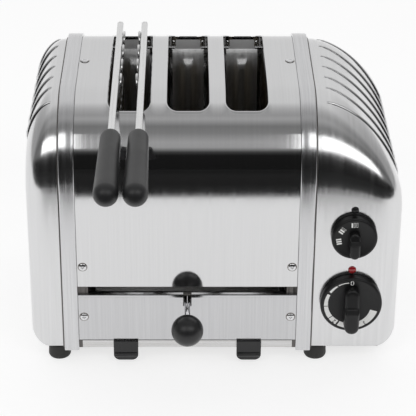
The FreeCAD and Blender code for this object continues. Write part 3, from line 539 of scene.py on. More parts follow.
def castingStation(x, look):
    # face, top, low edge and bend of the casting at x
    inward = castingShape["half"] - look["side"] * x
    fall = 0.0
    if inward < look["reach"]:
        sine = (1 - inward / look["reach"]) ** (1 / look["fullness"])
        fall = look["drop"] * (1 - math.sqrt(max(0.0, 1 - sine * sine)) ** look["fullness"])
    corner, foot = look["corner"], look["foot"]
    pull = corner - math.sqrt(max(0.0, corner**2 - max(0.0, corner - inward) ** 2))
    lift = foot - math.sqrt(max(0.0, foot**2 - max(0.0, foot - inward) ** 2))
    radius = max(castingShape["endRadius"], castingShape["radius"] - castingShape["tightening"] * fall)
    return castingShape["face"] - pull * 0.8, castingShape["top"] - fall, castingShape["low"] + lift, radius


def castingPoint(x, y, look):
    # height of the casting's skin over (x, y), in millimetres
    face, top, _, radius = castingStation(x, look)
    y = abs(y)
    flat = face - radius
    return top if y <= flat else top - radius + math.sqrt(max(0.0, radius**2 - (y - flat) ** 2))


def makeCasting(name, node, look):
    low, high = (corner.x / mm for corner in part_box(node))
    start, end = (high, low) if look["side"] < 0 else (low, high)
    steps = castingShape["steps"]
    inner = end - look["side"] * look["reach"]
    stops = [start + (inner - start) * k / 4 for k in range(4)]
    stops += [inner + (end - inner) * math.sin(math.pi / 2 * k / steps) ** 0.8 for k in range(steps + 1)]
    rings = []
    for x in stops:
        face, top, bottom, radius = castingStation(x, look)
        outline = archOutline(face, top, radius, bottom + 1.5, castingShape["wallSteps"])
        under = [(face - 1.5, bottom), (-(face - 1.5), bottom)]
        rings.append([(x, y, z) for y, z in outline + under])
    count = len(rings[0])
    points = [(x * mm, y * mm, z * mm) for ring in rings for x, y, z in ring]
    faces = gridFaces(len(rings), count, closedColumns=True)
    faces.append(tuple(range((len(rings) - 1) * count, len(rings) * count)))
    inside = len(points)
    wall = castingShape["wall"]
    for k in range(count):
        x, y, z = rings[0][k]
        points.append((x * mm, y * mm * (1 - wall / 100), (z * (1 - wall / 200) + wall * 0.3) * mm))
    faces += [(k, (k + 1) % count, inside + (k + 1) % count, inside + k) for k in range(count)]
    for k in range(count):
        x, y, z = rings[4][k]
        points.append((x * mm, y * mm * (1 - wall / 100), (z * (1 - wall / 200) + wall * 0.3) * mm))
    faces += [
        (inside + k, inside + (k + 1) % count, inside + count + (k + 1) % count, inside + count + k)
        for k in range(count)
    ]
    faces.append(tuple(range(inside + count, inside + 2 * count)))
    piece = makePiece(name, points, faces, "castingPolish", "casing", 50.0)
    outwards(piece)
    piece.data.set_sharp_from_angle(angle=math.radians(50))
    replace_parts(piece, node)
    return piece


makeCasting("castingLeft", "end_casting_left", castingLooks["left"])
makeCasting("castingRight", "end_casting_right", castingLooks["right"])
print("casings made")


# geometry node trees for what repeats
def newTree(name, *inputs):
    tree = bpy.data.node_groups.new(name, "GeometryNodeTree")
    tree.interface.new_socket("Geometry", in_out="INPUT", socket_type="NodeSocketGeometry")
    for label, kind in inputs:
        tree.interface.new_socket(label, in_out="INPUT", socket_type=kind)
    tree.interface.new_socket("Geometry", in_out="OUTPUT", socket_type="NodeSocketGeometry")
    return tree, addNode(tree, "NodeGroupInput", (-900, 0)), addNode(tree, "NodeGroupOutput", (900, 0))


def makeWireTree():
    # a round wire along each path, thinner where the path's own weight is below one
    tree, given, out = newTree(
        "wiresAlongPaths", ("Radius", "NodeSocketFloat"), ("Sides", "NodeSocketInt"),
        ("Finish", "NodeSocketMaterial"),
    )
    curve = addNode(tree, "GeometryNodeMeshToCurve", (-650, 0))
    weight = addNode(tree, "GeometryNodeInputNamedAttribute", (-900, -250), data_type="FLOAT")
    weight.inputs["Name"].default_value = "weight"
    times = addNode(tree, "ShaderNodeMath", (-650, -250), operation="MULTIPLY")
    width = addNode(tree, "GeometryNodeSetCurveRadius", (-400, 0))
    ring = addNode(tree, "GeometryNodeCurvePrimitiveCircle", (-400, -300))
    ring.inputs["Radius"].default_value = 1.0
    tube = addNode(tree, "GeometryNodeCurveToMesh", (-100, 0))
    tube.inputs["Fill Caps"].default_value = True
    solid = addNode(tree, "GeometryNodeRealizeInstances", (350, 0))
    paint = addNode(tree, "GeometryNodeSetMaterial", (600, 0))
    tree.links.new(given.outputs["Geometry"], curve.inputs[0])
    tree.links.new(curve.outputs[0], width.inputs["Curve"])
    tree.links.new(given.outputs["Radius"], times.inputs[0])
    tree.links.new(weight.outputs[0], times.inputs[1])
    tree.links.new(times.outputs[0], width.inputs["Radius"])
    tree.links.new(given.outputs["Sides"], ring.inputs["Resolution"])
    tree.links.new(width.outputs[0], tube.inputs["Curve"])
    tree.links.new(ring.outputs[0], tube.inputs["Profile Curve"])
    if "Scale" in tube.inputs:
        tree.links.new(times.outputs[0], tube.inputs["Scale"])
    tree.links.new(tube.outputs[0], solid.inputs[0])
    tree.links.new(solid.outputs[0], paint.inputs["Geometry"])
    tree.links.new(given.outputs["Finish"], paint.inputs["Material"])
    tree.links.new(paint.outputs[0], out.inputs[0])
    return tree


def makeScatterTree():
    # one part set at each point of the seat mesh, turned to the seat's own direction
    tree, given, out = newTree(
        "partsOnSeats", ("Part", "NodeSocketObject"), ("Size", "NodeSocketFloat"),
        ("Finish", "NodeSocketMaterial"),
    )
    part = addNode(tree, "GeometryNodeObjectInfo", (-650, -200))
    facing = addNode(tree, "GeometryNodeInputNamedAttribute", (-900, -400), data_type="FLOAT_VECTOR")
    facing.inputs["Name"].default_value = "facing"
    turn = addNode(tree, "FunctionNodeAlignEulerToVector", (-650, -450), axis="Z")
    put = addNode(tree, "GeometryNodeInstanceOnPoints", (-200, 0))
    solid = addNode(tree, "GeometryNodeRealizeInstances", (250, 0))
    paint = addNode(tree, "GeometryNodeSetMaterial", (600, 0))
    tree.links.new(given.outputs["Geometry"], put.inputs["Points"])
    tree.links.new(given.outputs["Part"], part.inputs["Object"])
    tree.links.new(part.outputs["Geometry"], put.inputs["Instance"])
    tree.links.new(facing.outputs[0], turn.inputs["Vector"])
    tree.links.new(turn.outputs[0], put.inputs["Rotation"])
    tree.links.new(given.outputs["Size"], put.inputs["Scale"])
    tree.links.new(put.outputs[0], solid.inputs[0])
    tree.links.new(solid.outputs[0], paint.inputs["Geometry"])
    tree.links.new(given.outputs["Finish"], paint.inputs["Material"])
    tree.links.new(paint.outputs[0], out.inputs[0])
    return tree


wireTree, scatterTree = makeWireTree(), makeScatterTree()


def grow(name, mesh, tree, values, material, body, sharpAngle=40.0):
    # runs a node tree over mesh and keeps the result as one plain mesh
    seed = bpy.data.objects.new(name + "Seed", mesh)
    scene.collection.objects.link(seed)
    step = seed.modifiers.new("grow", "NODES")
    step.node_group = tree
    sockets = {item.name: item.identifier for item in tree.interface.items_tree if item.in_out == "INPUT"}
    for label, value in {**values, "Finish": finish[material]}.items():
        step[sockets[label]] = value
    bpy.context.view_layer.update()
    made = bpy.data.meshes.new_from_object(seed.evaluated_get(bpy.context.evaluated_depsgraph_get()))
    bpy.data.objects.remove(seed)
    made.name = name
    return finishPiece(bpy.data.objects.new(name, made), material, body, sharpAngle)


def makeWires(name, paths, radius, material, body, sides=10, weights=None):
    # paths are lists of points in millimetres
    points, edges, shares = [], [], []
    for number, path in enumerate(paths):
        start = len(points)
        points += [Vector(p) * mm for p in path]
        edges += [(start + k, start + k + 1) for k in range(len(path) - 1)]
        shares += weights[number] if weights else [1.0] * len(path)
    mesh = bpy.data.meshes.new(name + "Paths")
    mesh.from_pydata(points, edges, [])
    mesh.attributes.new("weight", "FLOAT", "POINT").data.foreach_set("value", shares)
    piece = grow(name, mesh, wireTree, {"Radius": radius * mm, "Sides": sides}, material, body, 60.0)
    outwards(piece)
    return piece


def scatter(name, part, seats, material, body, scale=1.0):
    # seats are (place in millimetres, direction) pairs
    mesh = bpy.data.meshes.new(name + "Seats")
    mesh.from_pydata([Vector(at) * mm for at, _ in seats], [], [])
    facing = mesh.attributes.new("facing", "FLOAT_VECTOR", "POINT")
    facing.data.foreach_set("vector", [c for _, way in seats for c in way])
    return grow(name, mesh, scatterTree, {"Part": part, "Size": scale}, material, body)


# louvres on the castings
louvreLook = dict(
    count=7, pitch=20.5, inset=4.0, low=118.0, ridge=2.0, sunk=1.3, slit=0.5, slitGap=2.0, shift=1.2,
    steps=30,
)


def louvrePaths(look, casting, shift, sink):
    rows, weights = [], []
    start = middleX / mm + casting["side"] * (99.2 + look["inset"])
    for number in range(look["count"]):
        y = (number - (look["count"] - 1) / 2) * look["pitch"] + shift
        path = []
        end = castingShape["half"] * casting["side"]
        for k in range(look["steps"] + 1):
            x = start + (end - start) * (k / look["steps"]) ** 0.75
            z = castingPoint(x, y, casting)
            if z < look["low"] or abs(x) > castingShape["half"] - 0.5:
                break
            path.append((x, y, z - sink))
        total = len(path)
        share = [min(1.0, 0.25 + 1.5 * min(k, total - 1 - k) / 3) for k in range(total)]
        if total > 3:
            rows.append(path)
            weights.append(share)
    return rows, weights


for sideName, casting in castingLooks.items():
    title = sideName.title()
    shift = louvreLook["shift"]
    paths, shares = louvrePaths(louvreLook, casting, shift, louvreLook["sunk"])
    makeWires(
        "louvreRidges" + title, paths, louvreLook["ridge"], "castingPolish", "casing", 12,
        shares,
    )
    # the slits are not cut: a thin dark strip beside each ridge is painted shade in place of each opening
    paths, shares = louvrePaths(louvreLook, casting, shift - louvreLook["slitGap"], louvreLook["slit"] * 0.8)
    makeWires("louvreSlits" + title, paths, louvreLook["slit"], "slitPaintedShade", "casing", 8, shares)
print("louvres made")


# screws with a cross recess
screwLook = dict(
    radius=3.3, dome=1.45, seat=0.25, slotLong=3.6, slotWide=0.75, slotDeep=0.9, across=81.7, coverUp=88.5,
    panelUp=43.0, topY=3.0, seatShadow=((0, 0.02), (3.75, 0.02), (3.75, 0.10), (0, 0.12)),
)


def makeScrewPart(look):
    outline = [(0.0, 0.0), (look["radius"], 0.0), (look["radius"], look["seat"])]
    for k in range(1, 9):
        turn = math.pi / 2 * k / 8
        rise = (look["dome"] - look["seat"]) * math.sin(turn)
        outline.append((look["radius"] * math.cos(turn), look["seat"] + rise))
    outline[-1] = (0.0, look["dome"])
    head = lathe("screwPart", outline, (0, 0, 0), (0, 0, 1), "screwSteel", "casing", 28)
    cross = []
    for long, wide in ((look["slotLong"], look["slotWide"]), (look["slotWide"], look["slotLong"])):
        x, y, z0, z1 = long / 2, wide / 2, look["dome"] - look["slotDeep"], look["dome"] + 0.5
        corners = [(-x, -y), (x, -y), (x, y), (-x, y)]
        points = [(px * 0.45, py * 0.45, z0) for px, py in corners] + [(px, py, z1) for px, py in corners]
        mesh = bpy.data.meshes.new("crossTool")
        sides = [(k, (k + 1) % 4, 4 + (k + 1) % 4, 4 + k) for k in range(4)]
        mesh.from_pydata([Vector(p) * mm for p in points], [], [(3, 2, 1, 0), (4, 5, 6, 7)] + sides)
        tool = bpy.data.objects.new("crossTool", mesh)
        scene.collection.objects.link(tool)
        step = head.modifiers.new("cross", "BOOLEAN")
        step.operation, step.object, step.solver = "DIFFERENCE", tool, "EXACT"
        cross.append(tool)
    bpy.context.view_layer.update()
    made = bpy.data.meshes.new_from_object(head.evaluated_get(bpy.context.evaluated_depsgraph_get()))
    head.modifiers.clear()
    head.data = made
    for tool in cross:
        bpy.data.objects.remove(tool)
    return head


screwPart = makeScrewPart(screwLook)
# a thin dark ring just wider than each screw head is painted shadow where the head sits on the sheet
washerPart = lathe("washerPart", screwLook["seatShadow"], (0, 0, 0), (0, 0, 1), "guardSteel", "casing", 28)
seatX = [middleX / mm + side * screwLook["across"] for side in (-1, 1)]
coverSeats = [((x, y * coverLook["face"], screwLook["coverUp"]), (0, y, 0)) for x in seatX for y in (-1, 1)]
coverSeats += [((x, screwLook["topY"], coverLook["top"]), (0, 0, 1)) for x in seatX]
panelSeats = [((x, y * coverLook["face"], screwLook["panelUp"]), (0, y, 0)) for x in seatX for y in (-1, 1)]
screwSets = (("coverScrews", coverSeats, "cover_screws"), ("panelScrews", panelSeats, "panel_screws"))
for name, seats, node in screwSets:
    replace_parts(scatter(name, screwPart, seats, "screwSteel", "casing"), node)
    # the dark rings under the heads are painted shadow, in the dark guard steel finish
    scatter(name + "Seats", washerPart, seats, "guardSteel", "casing")
bpy.data.objects.remove(washerPart)


# lower panels with a folded hem
panelLook = dict(face=101.5, sheet=0.9, hem=0.6, top=64.0, hemLow=60.8, lip=5.0, notchHalf=3.3, notchLow=53.0)


def makePanel(name, node, side, low, notched):
    look, sheet = panelLook, panelLook["sheet"]
    face = look["face"] if side < 0 else look["face"] - look["hem"]
    hem = face + look["hem"]
    section = [(face, low + (look["notchLow"] - low) * k / 6) for k in range(7)]
    section += [(face, look["hemLow"] - 0.5), (face + 0.1, look["hemLow"] - 0.12)]
    section += [(hem - 0.15, look["hemLow"])]
    section += [(hem, look["hemLow"] + 0.2), (hem, look["top"] - 0.8), (hem - 0.2, look["top"] - 0.25)]
    section += [(hem - 0.7, look["top"]), (face - look["lip"] + 1, look["top"])]
    columns = [coverLow.x / mm + (middleX - coverLow.x) / mm * k / 8 for k in range(8)]
    columns[-1] = middleX / mm - look["notchHalf"] - 6
    columns += [middleX / mm - look["notchHalf"], middleX / mm + look["notchHalf"]]
    columns += [2 * middleX / mm - x for x in reversed(columns[:8])]
    points = [(x * mm, side * y * mm, z * mm) for y, z in section for x in columns]
    faces, wide = [], len(columns)
    for i in range(len(section) - 1):
        for j in range(wide - 1):
            if notched and i >= 6 and j == 8:
                continue
            faces.append((i * wide + j, i * wide + j + 1, (i + 1) * wide + j + 1, (i + 1) * wide + j))
    if side > 0:
        faces = [tuple(reversed(f)) for f in faces]
    piece = makePiece(name, points, faces, "panelSteel", "casing", 30)
    thick = piece.modifiers.new("sheetThickness", "SOLIDIFY")
    thick.thickness = sheet * mm
    thick.offset = -1.0
    settle(piece, 30)
    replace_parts(piece, node)


makePanel("frontPanel", "front_panel", -1, 21.6, True)
makePanel("rearPanel", "rear_panel", 1, 13.7, False)


# feet
footLook = dict(
    across=(-124, 82), deep=89,
    outline=((0.0, 4.6), (4.6, 4.6), (4.6, 0.0), (6.9, 0.0), (8.2, 0.5), (8.9, 1.8), (9.0, 3.0), (8.7, 7.0),
             (9.0, 11.0), (8.6, 12.4), (0.0, 12.4)),
)
for end, y in (("front", -footLook["deep"]), ("rear", footLook["deep"])):
    for side, x in zip(("left", "right"), footLook["across"]):
        foot = lathe(
            "foot" + end.title() + side.title(), footLook["outline"], (x * mm, y * mm, 0), (0, 0, 1),
            "footRubber", "casing", 40, 30,
        )
        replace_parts(foot, f"foot_{end}_{side}")


# pieces taken from the frame with their edges broken
softened = (
    ("base_plate", 0.2, "innerSteel", "casing", "inner_steel"),
    ("end_plate_left", 0.2, "innerSteel", "casing", "inner_steel"),
    ("end_plate_right", 0.2, "innerSteel", "casing", "inner_steel"),
    ("foot_screws", 0.3, "screwSteel", "casing", "screw_steel"),
    ("chassis_rail_front", 0.2, "innerSteel", "casing", "inner_steel"),
    ("chassis_rail_rear", 0.2, "innerSteel", "casing", "inner_steel"),
    ("lever_bearings", 0.5, "innerSteel", "casing", None),
    ("guide_rods", 0.2, "innerSteel", "casing", None),
    ("timer_body", 0.8, "controlMoulding", "casing", "moulding"),
    ("selector_body", 0.8, "controlMoulding", "casing", "moulding"),
    ("terminal_block", 0.6, "controlMoulding", "casing", "moulding"),
    ("timer_spindle", 0.3, "innerSteel", "timer_control", None),
    ("selector_spindle", 0.3, "innerSteel", "selector_control", None),
    ("lever_shaft", 0.3, "innerSteel", "eject_lever", None),
    ("lever_arm_left", 0.3, "innerSteel", "eject_lever", None),
    ("lever_arm_right", 0.3, "innerSteel", "eject_lever", None),
    ("carriage_frame", 0.25, "innerSteel", "rack_carriage", None),
    ("bread_rack_1", 0.25, "guardSteel", "rack_carriage", "wire_steel"),
    ("bread_rack_2", 0.25, "guardSteel", "rack_carriage", "wire_steel"),
    ("bread_rack_3", 0.25, "guardSteel", "rack_carriage", "wire_steel"),
    ("crumb_tray", 0.25, "traySteel", "crumb_tray", "brushed_steel"),
    ("tray_tab_left", 0.6, "tabBlack", "crumb_tray", "black_plastic"),
    ("tray_tab_right", 0.6, "tabBlack", "crumb_tray", "black_plastic"),
)
for name, bevel, material, body, slotName in softened:
    words = name.split("_")
    softenNode(name, bevel * mm, material, body, words[0] + "".join(w.title() for w in words[1:]))
print("frame pieces finished")


# eject lever: rod and ball
leverLook = dict(pivot=(-93.0, 58.0), tilt=9.6, ballOut=42.1, ball=12.4, rod=2.3, rodEnd=30, collar=3.4)
tilt = math.radians(leverLook["tilt"])
leverWay = Vector((0, -math.cos(tilt), -math.sin(tilt)))
leverPivot = Vector((middleX / mm, *leverLook["pivot"]))
rod, rodEnd = leverLook["rod"], leverLook["rodEnd"]
rodOutline = [(0, 3.4), (rod - 0.3, 3.4), (rod, 3.7), (rod, rodEnd), (0, rodEnd)]
leverRod = lathe(
    "leverRod", rodOutline, leverPivot * mm, leverWay, "chromePlate", "eject_lever", 32, 30,
)
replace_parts(leverRod, "lever_rod")
ballOutline = [(0, -12.0), (leverLook["collar"], -12.0)]
for k in range(3, 37):
    turn = math.pi * k / 36
    ballOutline.append((leverLook["ball"] * math.sin(turn), -leverLook["ball"] * math.cos(turn)))
ballOutline[-1] = (0, leverLook["ball"])
ballCentre = (leverPivot + leverWay * leverLook["ballOut"]) * mm
leverBall = lathe(
    "leverBall", ballOutline, ballCentre, leverWay, "ballBlack", "eject_lever", 56, 40,
)
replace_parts(leverBall, "lever_ball")


# control knobs
knobLooks = {
    "timer": dict(z=57.2, radius=24.3, gripHalf=6.0, gripHigh=14.0, gripUp=17.0, gripRise=4.0, round=3.2),
    "selector": dict(z=116.4, radius=17.8, gripHalf=4.3, gripHigh=10.0, gripUp=7.0, gripRise=4.0, round=2.2),
}
controlX, knobBack, knobFace = middleX / mm + 128.7, -100.8, -107.3


def roundedOutline(halfWide, low, high, corner, steps=6):
    # (x, z) points of a rounded rectangle, counter-clockwise as seen from the front
    corner = max(0.05, min(corner, halfWide - 0.02, (high - low) / 2 - 0.02))
    points = []
    for cx, cz, start, run in (
        (halfWide - corner, high - corner, 0, 0), (corner - halfWide, high - corner, 90, -1),
        (corner - halfWide, low + corner, 180, 0), (halfWide - corner, low + corner, 270, 1),
    ):
        for k in range(steps + 1):
            turn = math.radians(start + 90 * k / steps)
            points.append((cx + corner * math.cos(turn), cz + corner * math.sin(turn)))
        span = high - low - 2 * corner
        points += [(points[-1][0], points[-1][1] + run * span * k / 24) for k in range(1, 24) if run]
    return points


def makeKnob(name, look):
    z, radius = look["z"], look["radius"]
    deep = knobBack - knobFace
    outline = [(0, 0), (radius - 0.4, 0), (radius, 0.4), (radius, deep - 2.0)]
    for k in range(1, 7):
        turn = math.pi / 2 * k / 6
        outline.append((radius - 1.7 * (1 - math.cos(turn)), deep - 2.0 + 1.9 * math.sin(turn)))
    outline += [(radius - 2.4, deep - 0.15), (radius - 3.2, deep - 0.4), (0, deep - 0.4)]
    centre = Vector((controlX, knobBack, z)) * mm
    body = name + "_control"
    disc = lathe(
        name + "KnobDisc", outline, centre, (0, -1, 0), "knobBlack", body, 72, 30,
    )
    low, high, middle = z - radius + look["gripRise"], z + look["gripUp"], z - 1.0
    loops, stops = [], [(0.0, 0.0), (0.15, 0.5), (0.35, 0.78)]
    turns = [math.pi / 2 * k / 6 for k in range(1, 7)]
    stops += [(0.35 + look["round"] * (1 - math.cos(a)), 0.78 + 0.22 * math.sin(a)) for a in turns]
    stops += [(look["gripHalf"] - 0.4, 1.0)]
    for inset, share in stops:
        loop = []
        half = look["gripHalf"] - inset
        shape = roundedOutline(half, low + inset, high - inset, half - 0.1)
        for x, pz in shape:
            over = max(0.0, min(1.0, (pz - middle) / (high - middle)))
            dip = max(0.0, min(1.0, (pz - middle) / 1.8))
            height = look["gripHigh"] * (1 - 0.30 * dip - 0.20 * over) * share
            loop.append((controlX + x, knobFace + 0.6 - height * 0.985, pz))
        loops.append(loop)
    count = len(loops[0])
    points = [Vector(p) * mm for loop in loops for p in loop]
    faces = gridFaces(len(loops), count, closedColumns=True)
    last = (len(loops) - 1) * count
    faces.append(tuple(range(count)))
    for k in range(count // 2 - 1):  # the front is closed by strips from side to side
        faces.append((last + (6 - k) % count, last + 7 + k, last + 8 + k, last + (5 - k) % count))
    grip = makePiece(name + "KnobGrip", points, faces, "knobBlack", body, 40)
    outwards(grip)
    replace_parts(disc, name + "_knob")
    return disc


for knobName, knobLook in knobLooks.items():
    makeKnob(knobName, knobLook)


# white printing on the knobs: a growing band, three figures and bar marks
printLook = dict(
    thick=0.08,
    band=((97, 121, 19.9, 20.5, 20.1, 20.9), (124, 146, 19.7, 21.0, 19.3, 21.3),
          (152, 214, 19.0, 21.4, 17.6, 21.6), (216, 236, 17.5, 21.6, 17.2, 21.6),
          (240, 262, 17.1, 21.6, 16.8, 21.6), (278, 344, 16.6, 21.6, 15.6, 21.6)),
    figures=(("0", 90, 4.6, True), ("1", 183, 3.2, False), ("2", 229, 3.4, False), ("3", 304, 3.4, False)),
    figureRadius=19.6, iconRadius=12.2, barWide=1.25, barHigh=4.0, barPitch=1.9, line=0.22,
    icons=((92, 1), (143, 2), (190, 3)),
)


def flatPieces(name, shapes, level, material, body):
    # shapes are lists of (x, z) outlines, made into thin plates at one depth
    points, faces = [], []
    for outline in shapes:
        start, count = len(points), len(outline)
        points += [(x * mm, level * mm, z * mm) for x, z in outline]
        points += [(x * mm, (level - printLook["thick"]) * mm, z * mm) for x, z in outline]
        faces += [tuple(range(start, start + count)), tuple(range(start + count, start + 2 * count))]
        faces += [
            (start + k, start + (k + 1) % count, start + count + (k + 1) % count, start + count + k)
            for k in range(count)
        ]
    piece = makePiece(name, points, faces, material, body, 20)
    outwards(piece)
    return piece


def bandShapes(look, z):
    shapes = []
    for start, end, in0, out0, in1, out1 in look["band"]:
        turns = [start + (end - start) * k / 10 for k in range(11)]
        outer = [(out0 + (out1 - out0) * k / 10, a) for k, a in enumerate(turns)]
        inner = [(in0 + (in1 - in0) * k / 10, a) for k, a in enumerate(turns)]
        shapes.append([
            (controlX + r * math.cos(math.radians(a)), z + r * math.sin(math.radians(a)))
            for r, a in outer + inner[::-1]
        ])
    return shapes


def barShapes(look, z):
    shapes = []
    wide, high, line = look["barWide"] / 2, look["barHigh"] / 2, look["line"]
    for angle, filled in look["icons"]:
        lean = math.radians(angle - 90)
        cx = controlX + look["iconRadius"] * math.cos(math.radians(angle))
        cz = z + look["iconRadius"] * math.sin(math.radians(angle))
        for bar in range(3):
            mid = (bar - 1) * look["barPitch"]
            if bar < filled:
                parts = [(mid - wide, mid + wide, -high, high)]
            else:
                parts = [
                    (mid - wide, mid - wide + line, -high, high),
                    (mid + wide - line, mid + wide, -high, high),
                    (mid - wide + line, mid + wide - line, high - line, high),
                    (mid - wide + line, mid + wide - line, -high, line - high),
                ]
            for x0, x1, z0, z1 in parts:
                corners = ((x0, z0), (x1, z0), (x1, z1), (x0, z1))
                along, up = math.cos(lean), math.sin(lean)
                shapes.append([(cx + x * along - y * up, cz + x * up + y * along) for x, y in corners])
    return shapes


def makeFigure(text, angle, high, pale, z, number):
    curve = bpy.data.curves.new("figure", "FONT")
    curve.body, curve.align_x, curve.align_y = text, "CENTER", "CENTER"
    curve.size, curve.extrude = high * 1.35 * mm, 0.05 * mm
    shape = bpy.data.objects.new("figureShape", curve)
    scene.collection.objects.link(shape)
    bpy.context.view_layer.update()
    mesh = bpy.data.meshes.new_from_object(shape.evaluated_get(bpy.context.evaluated_depsgraph_get()))
    bpy.data.objects.remove(shape)
    lean = math.radians(angle - 90)
    away = printLook["figureRadius"]
    for vertex in mesh.vertices:
        x, y, deep = vertex.co
        px = x * math.cos(lean) - y * math.sin(lean) + away * math.cos(math.radians(angle)) * mm
        pz = x * math.sin(lean) + y * math.cos(lean) + away * math.sin(math.radians(angle)) * mm
        vertex.co = (controlX * mm + px, (knobFace + 0.26) * mm - deep, z * mm + pz)
    colour = "printWhite" if pale else "knobBlack"
    piece = finishPiece(bpy.data.objects.new(f"timerFigure{number}", mesh), colour, "timer_control", 30)
    outwards(piece)


timerZ, selectorZ = knobLooks["timer"]["z"], knobLooks["selector"]["z"]
flatPieces("timerBand", bandShapes(printLook, timerZ), knobFace + 0.38, "printWhite", "timer_control")
flatPieces("selectorBars", barShapes(printLook, selectorZ), knobFace + 0.38, "printWhite", "selector_control")
for number, (text, angle, high, pale) in enumerate(printLook["figures"]):
    makeFigure(text, angle, high, pale, timerZ, number)
print("controls made")


# lamp, index stud and cable gland
smallLook = dict(lamp=(85.4, 3.2), stud=(138.2, 3.0), high=1.3, glandAt=(128, 40))


def makeButton(name, node, place, material):
    z, radius = place
    outline = [(0, -1.0), (radius - 0.25, -1.0), (radius - 0.25, 0.0), (radius, 0.15)]
    for k in range(1, 9):
        turn = math.pi / 2 * k / 8
        outline.append((radius * math.cos(turn), 0.15 + (smallLook["high"] - 0.15) * math.sin(turn)))
    outline[-1] = (0, smallLook["high"])
    centre = Vector((controlX, -castingShape["face"], z)) * mm
    made = lathe(name, outline, centre, (0, -1, 0), material, "casing", 36, 40)
    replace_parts(made, node)


makeButton("lampLens", "neon_lens", smallLook["lamp"], "lampRed")
makeButton("indexStud", "index_stud", smallLook["stud"], "tabBlack")
glandOutline = [(4.0, -5.6), (8.0, -5.6), (8.0, 0.0), (11.0, 0.0), (11.0, 2.4), (10.4, 3.0), (8.0, 3.0)]
glandOutline += [(8.0 - 0.25 * k, 3.0 + 6.0 * k / 8) for k in range(1, 9)] + [(4.0, 9.0), (4.0, -5.6)]
glandX, glandZ = smallLook["glandAt"]
gland = lathe(
    "cableGland", glandOutline, Vector((middleX / mm + glandX, castingShape["face"], glandZ)) * mm, (0, 1, 0),
    "footRubber", "casing", 40, 35,
)
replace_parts(gland, "cable_gland")


# heating boards with a wound ribbon, guards and guide bolts
heaterLook = dict(
    centres=(-87.9, -42.9, 2.1, 47.1), low=58.0, high=190.0, inset=8, reach=64, proud=0.85, turns=16,
    ribbon=0.55,
)
guardLook = dict(offset=17.6, half=66.0, low=57.0, high=203.0, wires=9, radius=0.9)

ribbonPaths = []
first, last = (heaterLook["low"] + heaterLook["inset"], heaterLook["high"] - heaterLook["inset"])
reach = heaterLook["reach"]
for number, x in enumerate(heaterLook["centres"]):
    words = "heater_board_%d" % (number + 1)
    softenNode(words, 0.2 * mm, "micaSheet", "casing", f"heaterBoard{number + 1}")
    path, side = [], 1
    for k in range(heaterLook["turns"] * 2 + 1):
        z = first + (last - first) * k / (heaterLook["turns"] * 2)
        for y in (-reach, reach) if k % 2 == 0 else (reach, -reach):
            path.append((x + heaterLook["proud"] * side, y, z))
        side = -side
    ribbonPaths.append(path)
ribbons = makeWires(
    "heaterRibbons", ribbonPaths, heaterLook["ribbon"], "heaterRibbon", "casing", 6
)
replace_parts(ribbons, "heater_windings")

for number, centre in enumerate(coverLook["slotCentres"]):
    paths = []
    for side in (-1, 1):
        x = centre + side * guardLook["offset"]
        half, low, high = guardLook["half"], guardLook["low"], guardLook["high"]
        paths.append([(x, -half, low), (x, half, low)])
        paths.append([(x, -half, high), (x, half, high)])
        for wire in range(guardLook["wires"]):
            y = -half + 2 + wire * (2 * half - 4) / (guardLook["wires"] - 1)
            paths.append([(x, y, low - 0.5), (x, y, high + 0.5)])
    grille = makeWires(
        f"guardGrille{number + 1}", paths, guardLook["radius"], "guardSteel", "casing", 8
    )
    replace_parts(grille, f"guard_grille_{number + 1}")


guideLook = dict(
    y=66.9, low=75.0, bend=174.0, flare=13.0, rise=31.0, ribHalf=5.0, ribTop=190, ribDeep=1.6, sheet=0.8,
    back=(11.0, 197.0, 206.5), backY=72.7, bolt=(13.2, 72.4, 203.5), boltSize=0.9,
)


def makeGuide(number, centre):
    # a plate that stands behind the bread, flared back at its top, with a pressed rib
    look = guideLook
    turns = [math.radians(38 + 52 * k / 10) for k in range(10, -1, -1)]
    section = [(look["y"], look["low"] + 8.4 * k) for k in range(12)]
    for a in turns:
        y = look["y"] + look["flare"] * (1 - math.sin(a))
        section.append((y, look["bend"] + look["rise"] * math.cos(a)))
    offsets = [-13, -9.5, -5.4, -4.4, -3.6, -1.5, 0, 1.5, 3.6, 4.4, 5.4, 9.5, 13]
    points = []
    for y, z in section:
        for off in offsets:
            across = max(0.0, min(1.0, (look["ribHalf"] - abs(off)) / 1.2))
            rib = across * max(0.0, min(1.0, (look["ribTop"] - z) / 3))
            points.append(((centre + off) * mm, (y - look["ribDeep"] * rib) * mm, z * mm))
    faces = gridFaces(len(section), len(offsets))
    piece = makePiece(f"slotGuide{number}", points, faces, "guideSteel", "casing", 50)
    thick = piece.modifiers.new("sheetThickness", "SOLIDIFY")
    thick.thickness = look["sheet"] * mm
    thick.offset = -1.0
    settle(piece, 50)
    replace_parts(piece, f"slot_guide_{number}")
    half, low, high = look["back"]
    back = [(centre - half, low), (centre + half, low), (centre + half, high), (centre - half, high)]
    flatPieces(f"guideBack{number}", [back], look["backY"], "galvanised", "casing")


for number, centre in enumerate(coverLook["slotCentres"]):
    makeGuide(number + 1, centre)
boltX, boltY, boltZ = guideLook["bolt"]
bolts = [((x + s * boltX, boltY, boltZ), (0, -1, 0)) for x in coverLook["slotCentres"] for s in (-1, 1)]
scatter("guideBolts", screwPart, bolts, "screwSteel", "casing", guideLook["boltSize"])
print("inside made")


# sandwich cage
cageLook = dict(
    straps={"left": -75.9, "right": -56.0}, wide=5.0, low=226.0, high=228.0, front=-156.0, back=60.0,
    hinge=(-65.95, 102.0), half=56.0, wire=1.0, runs=9, edge=0.35, handleFrom=-154.0, pinHalf=48,
)


